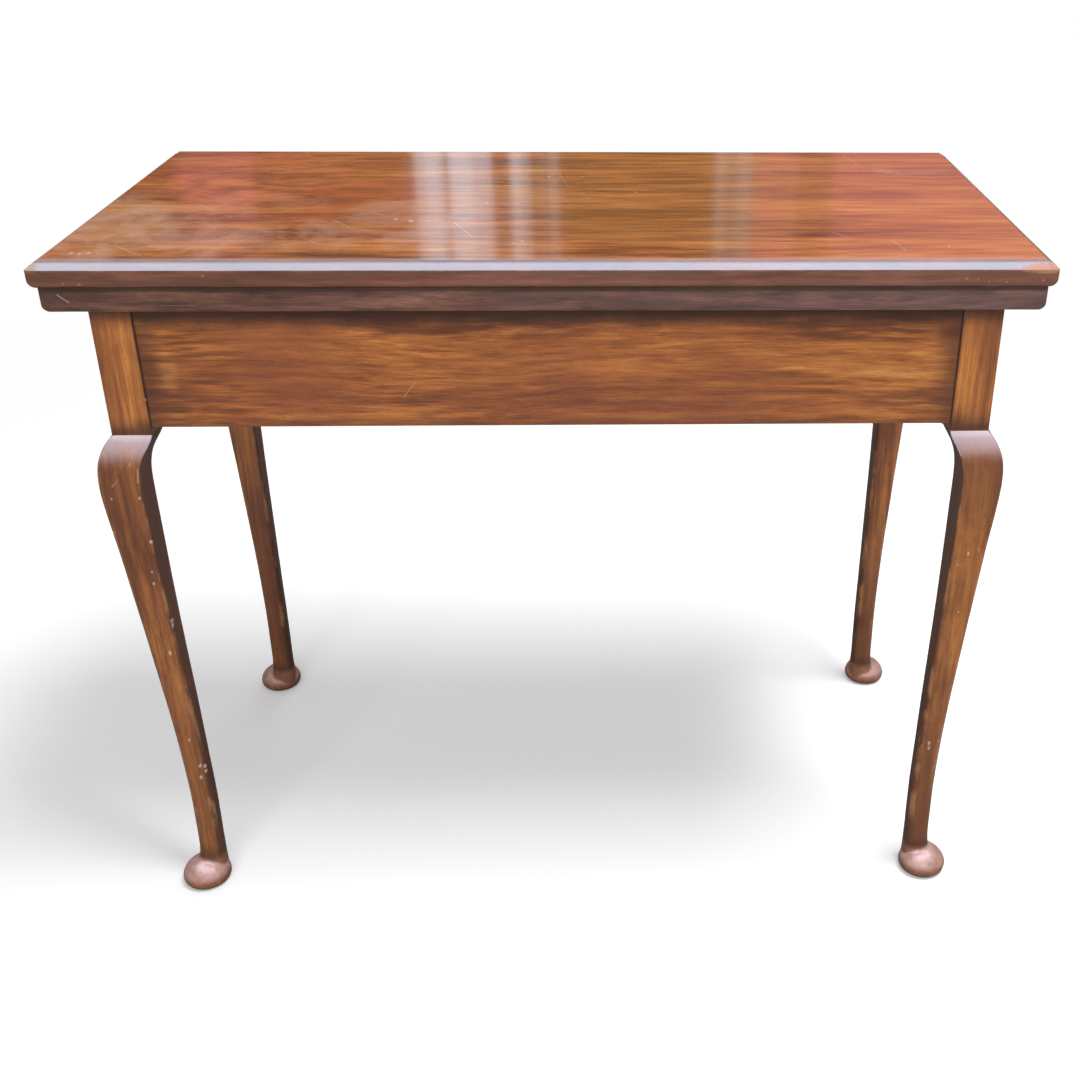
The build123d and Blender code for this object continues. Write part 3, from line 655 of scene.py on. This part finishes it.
def railFinish(name, node, along, shift):
    low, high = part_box(node)
    finish = Finish(name)
    lines = grain(finish, along, shift, woods["apron"])
    colour, rough, height = woodLayers(finish, woods["apron"], lines)
    parts = finish.split(lines["place"])
    ragged = (finish.noise(lines["place"], 22.0, 4.0, 0.65) - 0.5) * 2.4
    reach = 0.5 * (high[along] - low[along])
    if node == "front_rail":
        reach = frameInner
        colour = frontMarks(finish, lines, colour, low.y)
    fromEnd = reach - abs(parts[along] - 0.5 * (low[along] + high[along]))
    # Painted shade under the leaf's overhang; the rails are also darker towards their ends and along the bottom
    shadeUnderLeaf = (high.z - parts[2] - ragged * 0.006).between(*railWear["paintedShadeUnderLeaf"])
    ends = (fromEnd - ragged * 0.012).between(*railWear["ends"])
    foot = (parts[2] - low.z + ragged * 0.004).between(*railWear["foot"])
    shade = (shadeUnderLeaf * 0.80).larger(ends * 0.55).larger(foot * 0.45)
    dark = (shadeUnderLeaf * 0.72).larger(ends * ends * 0.22).larger(foot * 0.20)
    colour = finish.mix(shade, colour, grimeAndShade["shade"])
    colour = finish.mix(dark, colour, grimeAndShade["colour"])
    colour = finish.mix(fromEnd.between(*railWear["joint"]) * 0.85, colour, grimeAndShade["colour"])
    return polishedWood(finish, woods["apron"], colour, rough + shadeUnderLeaf * 0.12, height)


# Legs. The arrises are rubbed and chipped, and painted shade darkens the sides that face the frame
legWear = {
    "chipColour": (0.80, 0.60, 0.46),
    # The middle of each chip in pixels and its radius
    "chipPixels": {
        "left": (
            ((172, 621), 0.0018), ((172.5, 625.5), 0.0016), ((170, 653), 0.0018), ((189, 740), 0.0012),
            ((200, 766), 0.0019), ((205, 766), 0.0016), ((206, 771), 0.0015), ((201, 777), 0.0018),
            ((151, 542), 0.0015), ((152, 572), 0.0010), ((154, 584), 0.0015), ((113.6, 532.7), 0.0010),
            ((111.5, 499), 0.0009), ((146, 400), 0.0010), ((139.7, 498.5), 0.0013),
        ),
        "right": (
            ((968.6, 554), 0.0016), ((979, 550), 0.0009), ((958, 564.5), 0.0009), ((958.4, 612), 0.0009),
            ((929, 743), 0.0021), ((929, 748), 0.0017), ((939, 741), 0.0014), ((938, 755), 0.0019),
        ),
    },
    # The two ends of each scratch in pixels and its width
    "scratchPixels": {
        "left": (((131, 463.5), (112, 487), 0.0007), ((137.6, 469), (137.8, 483), 0.0009)),
        "right": (((957.5, 448), (961, 456), 0.0009),),
    },
    "rubbed": (0.56, 0.25, 0.10),
    "goldenTint": (1.40, 1.42, 1.20),
    "dirtTint": (0.44, 0.38, 0.36),
    "footColour": (0.300, 0.118, 0.070),
    # Pale colours of the painted highlights on the knee and the foot
    "greyishTint": (0.460, 0.350, 0.360),
    "footHighlight": (0.540, 0.330, 0.300),
    "lowDarkening": {"left": 0.42, "right": 0.60},
    # Out from the inner face of the stile
    "jointInset": (0.0016, 0.0002),
    "nookShadeInset": (0.022, 0.002),
    # Down from the top of the frame
    "paintedShadeUnderLeaf": (0.029, 0.006),
    # Up from the bottom of the rails
    "jointRise": (-0.006, 0.0),
    "nookShadeRise": (0.030, -0.004),
    "soiledRise": (0.016, -0.006),
    "goldenRise": (-0.010, 0.012),
    # Up from the bottom of the stile
    "stile": (-0.002, 0.0),
    "shoulder": (-0.001, 0.002, 0.003, 0.012),
    # Up from the floor
    "lowHeight": (0.35, 0.11),
    "kneeLow": (0.450, 0.485),
    "kneeTop": (0.556, 0.530),
    "kneeHighlight": (0.500, 0.545),
    "arrisHeight": (0.060, 0.090, 0.520, 0.545),
    "ankleLow": (0.020, 0.030),
    "ankleTop": (0.052, 0.036),
    "footHeight": (0.036, 0.028),
    "rubbedFoot": (0.035, 0.020),
    "rimHeight": (0.010, 0.002),
}


# Darkens the wood: painted shade on the sides that face the frame, on the backs of the front legs, under the leaf
# and in the nook under the rail; dirt in patches and on the stile below the rail; darker towards the bottom and
# below the knee, with dark lines at the joint, the step of the stile and the ankle. Leaves it paler where hands
# have rubbed it
def legGrime(finish, place, colour, ragged, inner, hiddenShade, side, end):
    x, z = finish.split(place)[::2]
    inset, rise, knee = x * side - frameInner, z - railBottom, z - (railBottom - stileDrop)
    joint = inset.between(*legWear["jointInset"]) * rise.between(*legWear["jointRise"])
    # Painted shade in the nook under the rail, beside the stile
    nookShade = (inset - ragged * 0.006).between(*legWear["nookShadeInset"])
    nookShade = nookShade * (rise + ragged * 0.008).between(*legWear["nookShadeRise"])
    soiled = (rise + ragged * 0.010).between(*legWear["soiledRise"]) * knee.between(*legWear["stile"])
    # Painted shade under the leaf's overhang
    shadeUnderLeaf = (frameTop - z - ragged * 0.006).between(*legWear["paintedShadeUnderLeaf"])
    shoulder = (knee + ragged * 0.004).band(*legWear["shoulder"])
    ankle = (z + ragged * 0.006).between(*legWear["ankleTop"]) * z.between(*legWear["ankleLow"])
    golden = rise.between(*legWear["goldenRise"]) * (1.0 - 0.8 * inner)
    colour = finish.mix(golden, colour, legWear["goldenTint"], "MULTIPLY")
    dirty = finish.noise(place, 9.0, 4.0, 0.6).between(0.50, 0.66)
    colour = finish.mix(dirty * 0.40, colour, legWear["dirtTint"], "MULTIPLY")
    # Painted shade on the sides that face the frame and on the backs of the front legs
    shade = (inner * 0.80).larger(hiddenShade).larger(shadeUnderLeaf * 0.6).larger(soiled * 0.55)
    # Darker towards the bottom of each leg
    shade = shade.larger((z + ragged * 0.05).between(*legWear["lowHeight"]) * legWear["lowDarkening"][end])
    belowKnee = (z + ragged * 0.02).between(*legWear["kneeLow"]) * z.between(*legWear["kneeTop"])
    colour = finish.mix(shade.larger(belowKnee * 0.36), colour, grimeAndShade["shade"])
    dark = (nookShade * 0.62).larger(shadeUnderLeaf * 0.6).larger(shoulder * 0.4).larger(ankle * 0.55).larger(joint * 0.85)
    return finish.mix(dark.larger(inner * 0.30), colour, grimeAndShade["colour"])


# Rubs the four long arrises back to paler wood, and paints a pale highlight on the parts that face up at the knee
# and the foot
def legRubbing(finish, place, colour, normal, ragged):
    z = finish.split(place)[2]
    corner = (abs(normal[0]) * abs(normal[1])).between(0.22, 0.46) * z.band(*legWear["arrisHeight"])
    worn = finish.stretched(place, (60.0, 60.0, 22.0), 4.0, 0.65).between(0.46, 0.62)
    colour = finish.mix(corner * worn * 0.42, colour, legWear["rubbed"])
    foot = (z + ragged * 0.003).between(*legWear["footHeight"])
    colour = finish.mix(foot * 0.6, colour, legWear["footColour"])
    # Painted highlight: parts that face up at the knee take a pale, greyish pink
    facingUp = (normal[2] + ragged * 0.05).between(0.10, 0.62)
    colour = finish.mix(facingUp * z.between(*legWear["kneeHighlight"]) * 0.72, colour, legWear["greyishTint"])
    # Painted highlight on the parts of the foot that face up, broken up by scuffs
    scuffed = finish.noise(place, 85.0, 5.0, 0.7).between(0.34, 0.62)
    colour = finish.mix(facingUp * foot * (0.40 + scuffed * 0.48), colour, legWear["footHighlight"])
    rubbed = finish.noise(place, 110.0, 4.0, 0.65).between(0.50, 0.66) * z.between(*legWear["rubbedFoot"])
    colour = finish.mix(rubbed * 0.40, colour, legWear["rubbed"])
    rim = (z + ragged * 0.003).between(*legWear["rimHeight"])
    return finish.mix(rim * 0.6, colour, grimeAndShade["colour"]), foot


# Chips and scratches, where the photograph shows them on a front leg
def legMarks(finish, place, colour, node, end):
    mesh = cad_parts[node].data
    corners = [corner.co.copy() for corner in mesh.vertices]
    surface = BVHTree.FromPolygons(corners, [tuple(face.vertices) for face in mesh.polygons])
    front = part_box(node)[0].y
    for pixel, radius in legWear["chipPixels"][end]:
        middle = onPiece(pixel, surface, front)
        mark = patch(finish, place, middle, (radius * 0.8, 0.004, radius * 1.4), 1.2, 380.0)
        colour = finish.mix(mark * 0.48, colour, legWear["chipColour"])
    for *pixels, width in legWear["scratchPixels"][end]:
        start, stop = [onPiece(pixel, surface, front) for pixel in pixels]
        colour = finish.mix(scratch(finish, place, start, stop, width) * 0.30, colour, legWear["chipColour"])
    return colour


def legFinish(name, node, shift):
    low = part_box(node)[0]
    side, end = (-1.0, "left") if low.x < 0 else (1.0, "right")
    front = low.y < 0
    finish = Finish(name)
    lines = grain(finish, 2, shift, woods["leg"])
    place = lines["place"]
    colour, rough, height = woodLayers(finish, woods["leg"], lines)
    normal = finish.split(finish.node("ShaderNodeNewGeometry", out="Normal"))
    ragged = (finish.noise(place, 30.0, 4.0, 0.65) - 0.5) * 2.4
    # Sides that face the frame: painted shade in the colour, and less polish
    inner = (normal[0] * -side + ragged * 0.12).between(0.15, 0.85)
    back = (normal[1] * (1.0 if front else -1.0) + ragged * 0.2).between(0.25, 0.75)
    # Painted shade on the backs of the front legs
    hiddenShade = back * (0.5 if front else 0.0)
    colour = legGrime(finish, place, colour, ragged, inner, hiddenShade, side, end)
    colour, foot = legRubbing(finish, place, colour, normal, ragged)
    if front:
        colour = legMarks(finish, place, colour, node, end)
    rough = rough - foot * 0.02 + inner * 0.15 + back * 0.10
    return polishedWood(finish, woods["leg"], colour, rough, height, 1.0 - 0.9 * inner)


def oakFinish(name, along, shift):
    finish = Finish(name)
    colour, rough, height = woodLayers(finish, woods["oak"], grain(finish, along, shift, woods["oak"]))
    return polishedWood(finish, woods["oak"], colour, rough, height)


metals = {
    "brass": {"clean": (0.62, 0.42, 0.16), "dull": (0.24, 0.15, 0.07), "roughness": (0.28, 0.5)},
    "iron": {"clean": (0.30, 0.28, 0.27), "dull": (0.10, 0.07, 0.055), "roughness": (0.4, 0.65)},
}
brushing = {"Strength": 0.1, "Distance": 0.0003}


def metalFinish(name, metal):
    finish = Finish(name)
    place = finish.place()
    tarnish = finish.noise(place, 70.0, 4.0, 0.6).between(0.40, 0.66)
    brushed = finish.stretched(place, (60.0, 900.0, 900.0), 2.0, 0.5)
    low, high = metal["roughness"]
    return finish.principled({
        "Base Color": finish.mix(tarnish, metal["clean"], metal["dull"]),
        "Metallic": 1.0,
        "Roughness": low + tarnish * (high - low),
        "Normal": finish.node("ShaderNodeBump", None, {**brushing, "Height": brushed}),
    })


def dress(material, *names):
    for name in names:
        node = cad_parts[name]
        node.data.materials.clear()
        node.data.materials.append(material)


# Each board's own place in the wood's pattern, and the way its grain runs where pieces of a kind differ
boards = {
    "leaves": {
        "topLeafWood": ("upper_leaf", (0.0, 0.0, 0.0)),
        "lowerLeafWood": ("lower_leaf", (1.7, 0.6, 0.3)),
    },
    "rails": {
        "frontRailWood": ("front_rail", 0, (0.4, 0.0, 2.1)),
        "backRailWood": ("fixed_back_rail", 0, (3.1, 0.2, 0.7)),
        "flyRailWood": ("fly_rail", 0, (2.1, 0.9, 1.7)),
        "leftRailWood": ("left_side_rail", 1, (0.2, 1.4, 0.9)),
        "rightRailWood": ("right_side_rail", 1, (1.2, 2.4, 0.4)),
    },
    "legs": {
        "frontLeftLegWood": ("front_left_leg", (0.5, 0.3, 0.2)),
        "frontRightLegWood": ("front_right_leg", (0.1, 0.9, 1.3)),
        "backRightLegWood": ("back_right_leg", (1.9, 0.4, 2.2)),
        "swingLegWood": ("swing_leg", (2.7, 1.4, 1.2)),
    },
}
for kind, makeFinish in (("leaves", leafFinish), ("rails", railFinish), ("legs", legFinish)):
    for name, (node, *board) in boards[kind].items():
        dress(makeFinish(name, node, *board), node)
dress(oakFinish("innerRailOak", 0, (0.0, 0.3, 0.2)), "inner_back_rail", "glue_blocks")
dress(oakFinish("cornerBlockOak", 2, (0.7, 0.1, 0.4)), "corner_blocks")
hingeParts = ("lower_plate", "upper_plate", "pin")
hinges = [end + "_hinge_" + part for end in ("left", "right") for part in hingeParts]
dress(metalFinish("agedBrass", metals["brass"]), "hinge_screws_lower", "hinge_screws_upper", *hinges)
dress(metalFinish("dullIron", metals["iron"]), "top_screws", "rail_screws", "knuckle_pin")
print("woods and metals dressed")

# Baize. Two cloths lie in the recesses of the leaves and meet when the table is closed
baize = {
    "rows": 60,
    "rolledEdge": 0.0006,
    "unevenness": 0.00012,
    "waves": 22.0,
    "green": ((0.012, 0.066, 0.030), (0.032, 0.132, 0.058)),
    "faded": (0.120, 0.185, 0.075),
    "marked": (0.022, 0.042, 0.024),
    "threads": 5200.0,
    "nap": {"Strength": 0.55, "Distance": 0.0005},
    "sheen": {"Sheen Weight": 0.22, "Sheen Roughness": 0.5, "Sheen Tint": (0.45, 0.70, 0.48, 1.0)},
    "specular": 0.15,
}


def baizeFinish(name, shift):
    finish = Finish(name)
    place = finish.vector("ADD", finish.place(), shift)
    dark, light = baize["green"]
    fibres = finish.noise(place, 1400.0, 3.0, 0.7)
    tufts = finish.noise(place, 260.0, 2.0, 0.6, 0.6)
    colour = finish.mix((fibres - 0.5) * 1.6 + tufts, dark, light)
    faded = finish.noise(place, 4.0, 4.0).between(0.46, 0.70)
    colour = finish.mix(faded * 0.45, colour, baize["faded"])
    marked = finish.noise(place, 11.0, 4.0, 0.6).between(0.60, 0.72)
    colour = finish.mix(marked * 0.6, colour, baize["marked"])
    x, y = finish.split(place)[:2]
    warp, weft = (x * baize["threads"]).sine(), (y * baize["threads"]).sine()
    height = fibres + tufts * 0.8 + (warp + weft) * 0.06
    return finish.principled({
        "Base Color": colour,
        "Roughness": 0.92 + 0.06 * tufts,
        "Normal": finish.node("ShaderNodeBump", None, {**baize["nap"], "Height": height}),
        "Specular IOR Level": baize["specular"],
        **baize["sheen"],
    })


# The cloth's shown side faces up or down, and its cut edge is rolled over and a little uneven
def makeBaize(name, node, facing, body, shift):
    low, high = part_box(node)
    columns = round(baize["rows"] * (high.x - low.x) / (high.y - low.y))
    shown, glued = (high.z, low.z) if facing > 0 else (low.z, high.z)
    mesh = bpy.data.meshes.new(name)
    form = bmesh.new()
    made = {}
    for side, z in (("shown", shown), ("glued", glued)):
        inset = baize["rolledEdge"] if side == "shown" else 0.0
        for column in range(columns + 1):
            for row in range(baize["rows"] + 1):
                x = low.x + inset + (high.x - low.x - 2 * inset) * column / columns
                y = low.y + inset + (high.y - low.y - 2 * inset) * row / baize["rows"]
                lift = 0.0
                if side == "shown":
                    wave = noise.noise(Vector((x * baize["waves"] + shift[0], y * baize["waves"], facing)))
                    lift = facing * (wave * 0.5 - 0.5) * baize["unevenness"]
                made[side, column, row] = form.verts.new((x, y, z + lift))
    for column in range(columns):
        for row in range(baize["rows"]):
            for side in ("shown", "glued"):
                places = ((column, row), (column + 1, row), (column + 1, row + 1), (column, row + 1))
                form.faces.new([made[side, *place] for place in places])
    rim = [(column, 0) for column in range(columns)] + [(columns, row) for row in range(baize["rows"])]
    rim += [(column, baize["rows"]) for column in range(columns, 0, -1)]
    rim += [(0, row) for row in range(baize["rows"], 0, -1)]
    for first, second in zip(rim, rim[1:] + rim[:1]):
        corners = (("glued", first), ("glued", second), ("shown", second), ("shown", first))
        form.faces.new([made[side, *place] for side, place in corners])
    bmesh.ops.recalc_face_normals(form, faces=form.faces)
    form.to_mesh(mesh)
    form.free()
    mesh.materials.append(baizeFinish(name + "Cloth", shift))
    cloth = bpy.data.objects.new(name, mesh)
    bpy.context.scene.collection.objects.link(cloth)
    for face in mesh.polygons:
        face.use_smooth = abs(face.normal.z) > 0.9
    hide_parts(node)
    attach(cloth, body)


makeBaize("lowerCloth", "lower_baize", 1, "frame", (0.0, 0.0, 0.0))
makeBaize("upperCloth", "upper_baize", -1, "upper_leaf", (3.7, 1.9, 0.0))
print("baize laid")

# Studio: a pale floor, a pale surround and soft lamps
studio = {
    "floorReach": 8.0,
    "floorColour": (0.75, 0.75, 0.76),
    "floorShown": (0.97, 0.97, 0.97),
    "floorMirrored": (0.25, 0.225, 0.20),
    "floorGlow": 0.15,
    "fade": (1.1, 2.4),
    "white": (1.0, 1.0, 1.0),
    "ambient": (0.305, 0.31, 0.32),
    "target": (0.0, 0.0, 0.5),
    "lamps": {
        "keyLamp": {"place": (1.25, -0.55, 4.2), "size": (1.8, 1.3), "power": 130.0},
        "fillLamp": {"place": (-0.4, -3.6, 2.2), "size": (2.6, 1.6), "power": 70.0},
        "backLamp": {"place": (0.8, 3.8, 2.2), "size": (2.6, 1.6), "power": 24.0},
    },
}
# The room that the polish mirrors: the sky, and four walls, of which the one behind the table has windows and
# brickwork. Windows and bricks have a left end, a right end and a strength
room = {
    "reach": 3.0,
    "height": 2.15,
    "frontHeight": 1.25,
    "wall": (0.055, 0.042, 0.036),
    "panel": ((-2.5, -6.5), (2.5, 0.5), 2.6),
    "panelGlow": (8.4, 9.2, 10.9),
    "panelMiddle": (0.0, -0.1, 0.0),
    "panelFade": (1.6, 1.1, 1.0),
    "panelEdge": 0.18,
    "light": (1.02, 1.20, 1.36),
    "brick": (0.62, 0.20, 0.27),
    "soften": 0.009,
    "windows": (
        (-0.575, -0.478, 0.62), (-0.540, -0.495, 0.70), (-0.464, -0.385, 0.92), (-0.385, -0.325, 0.66),
        (-0.265, -0.228, 0.74), (-0.228, -0.200, 0.42), (-0.175, -0.155, 0.14), (-0.142, -0.108, 0.30),
        (0.403, 0.438, 0.26), (0.438, 0.475, 0.12), (0.475, 0.525, 0.24),
    ),
    "bricks": ((-1.330, -1.095, 0.40), (0.530, 0.675, 0.66), (0.675, 0.790, 0.22), (0.790, 1.60, 0.72)),
}


def stagePlane(name, corners, material, mirroredOnly=False):
    mesh = bpy.data.meshes.new(name)
    mesh.from_pydata(corners, [], [tuple(range(len(corners)))])
    mesh.materials.append(material)
    plane = bpy.data.objects.new(name, mesh)
    bpy.context.scene.collection.objects.link(plane)
    if mirroredOnly:
        plane.visible_camera = plane.visible_diffuse = False
        plane.visible_shadow = plane.visible_transmission = False


# A level rectangle between two corners, at one height
def levelOutline(first, second, z):
    (left, front), (right, back) = first, second
    return [(left, front, z), (right, front, z), (right, back, z), (left, back, z)]


def emission(finish, colour, strength=1.0):
    colour = colour if isinstance(colour, Wire) else (*colour, 1.0)
    return finish.node("ShaderNodeEmission", None, {0: colour, 1: strength})


# The floor shows the table's shadow, and away from the table it is as white as the surround
def floorFinish():
    finish = Finish("paleFloor")
    fade = finish.vector("LENGTH", finish.place(), out="Value").between(*studio["fade"])
    seen = finish.node("ShaderNodeLightPath", out="Is Camera Ray")
    mirrored = finish.node("ShaderNodeLightPath", out="Is Glossy Ray")
    colour = finish.mix(mirrored, studio["floorColour"], studio["floorMirrored"])
    matte = finish.node("ShaderNodeBsdfDiffuse", None, {0: colour})
    clear = finish.node("ShaderNodeBsdfDiffuse", None, {0: (*studio["floorShown"], 1.0)})
    glow = emission(finish, studio["white"], studio["floorGlow"])
    near = finish.node("ShaderNodeAddShader", None, {0: clear, 1: glow})
    shown = finish.node("ShaderNodeMixShader", None, {0: fade, 1: near, 2: emission(finish, studio["white"])})
    return finish.surface(finish.node("ShaderNodeMixShader", None, {0: seen, 1: matte, 2: shown}))


# The wall behind the table, with its windows and the brickwork beside them
def backWallFinish():
    finish = Finish("windowWall")
    across = finish.split(finish.place())[0]
    soften = room["soften"]
    colour = finish.mix(0.0, room["wall"], room["wall"])
    for bands, paint in (("bricks", "brick"), ("windows", "light")):
        for left, right, strength in room[bands]:
            band = across.band(left - soften, left + soften, right - soften, right + soften)
            colour = finish.mix(band * strength, colour, room[paint])
    return finish.surface(emission(finish, colour))


# The sky is brightest over the table
def skyFinish():
    finish = Finish("skyPanel")
    flat = finish.vector("MULTIPLY", finish.place(), (1.0, 1.0, 0.0))
    away = finish.vector("SUBTRACT", flat, room["panelMiddle"])
    distance = finish.vector("LENGTH", finish.vector("DIVIDE", away, room["panelFade"]), out="Value")
    edge = tuple(value * room["panelEdge"] for value in room["panelGlow"])
    return finish.surface(emission(finish, finish.mix(distance.between(0.9, 2.0), room["panelGlow"], edge)))


def mirroredRoom():
    reach, height = room["reach"], room["height"]
    plain = Finish("roomWall")
    wall = plain.surface(emission(plain, room["wall"]))
    corners = ((-reach, reach), (reach, reach), (reach, -reach), (-reach, -reach), (-reach, reach))
    for index, ((x, y), (nextX, nextY)) in enumerate(zip(corners, corners[1:])):
        top = room["frontHeight"] if index == 2 else height
        outline = [(x, y, 0.0), (nextX, nextY, 0.0), (nextX, nextY, top), (x, y, top)]
        stagePlane("roomWall" + str(index), outline, backWallFinish() if index == 0 else wall, True)
    stagePlane("skyPanel", levelOutline(*room["panel"]), skyFinish(), True)


def surround():
    world = bpy.data.worlds.new("paleSurround")
    bpy.context.scene.world = world
    world.use_nodes = True
    sky = Finish("paleSurround", world.node_tree)
    path = sky.node("ShaderNodeLightPath").socket.node.outputs
    seen, mirrored = Wire(sky, path["Is Camera Ray"]), Wire(sky, path["Is Glossy Ray"])
    direct = seen.larger(mirrored).larger(Wire(sky, path["Is Transmission Ray"]))
    white = sky.node("ShaderNodeBackground", None, {0: (*studio["white"], 1.0), 1: 1.0})
    soft = sky.node("ShaderNodeBackground", None, {0: (*studio["ambient"], 1.0), 1: 1.0})
    shown = sky.node("ShaderNodeMixShader", None, {0: direct, 1: soft, 2: white})
    sky.node("ShaderNodeOutputWorld", sockets={0: shown})


# The polish mirrors the room and not the lamps
def softLamp(name, place, size, power):
    data = bpy.data.lights.new(name, "AREA")
    data.shape = "RECTANGLE"
    data.size, data.size_y = size
    data.energy = power
    lamp = bpy.data.objects.new(name, data)
    bpy.context.scene.collection.objects.link(lamp)
    lamp.location = place
    lamp.rotation_euler = (Vector(studio["target"]) - Vector(place)).to_track_quat("-Z", "Y").to_euler()
    lamp.visible_camera = False
    lamp.visible_glossy = False


floorReach = studio["floorReach"]
stagePlane("floor", levelOutline((-floorReach, -floorReach), (floorReach, floorReach), 0.0), floorFinish())
surround()
mirroredRoom()
for name, lamp in studio["lamps"].items():
    softLamp(name, **lamp)
print("studio set")

bpy.context.scene.view_settings.view_transform = "Standard"
print("finishing")
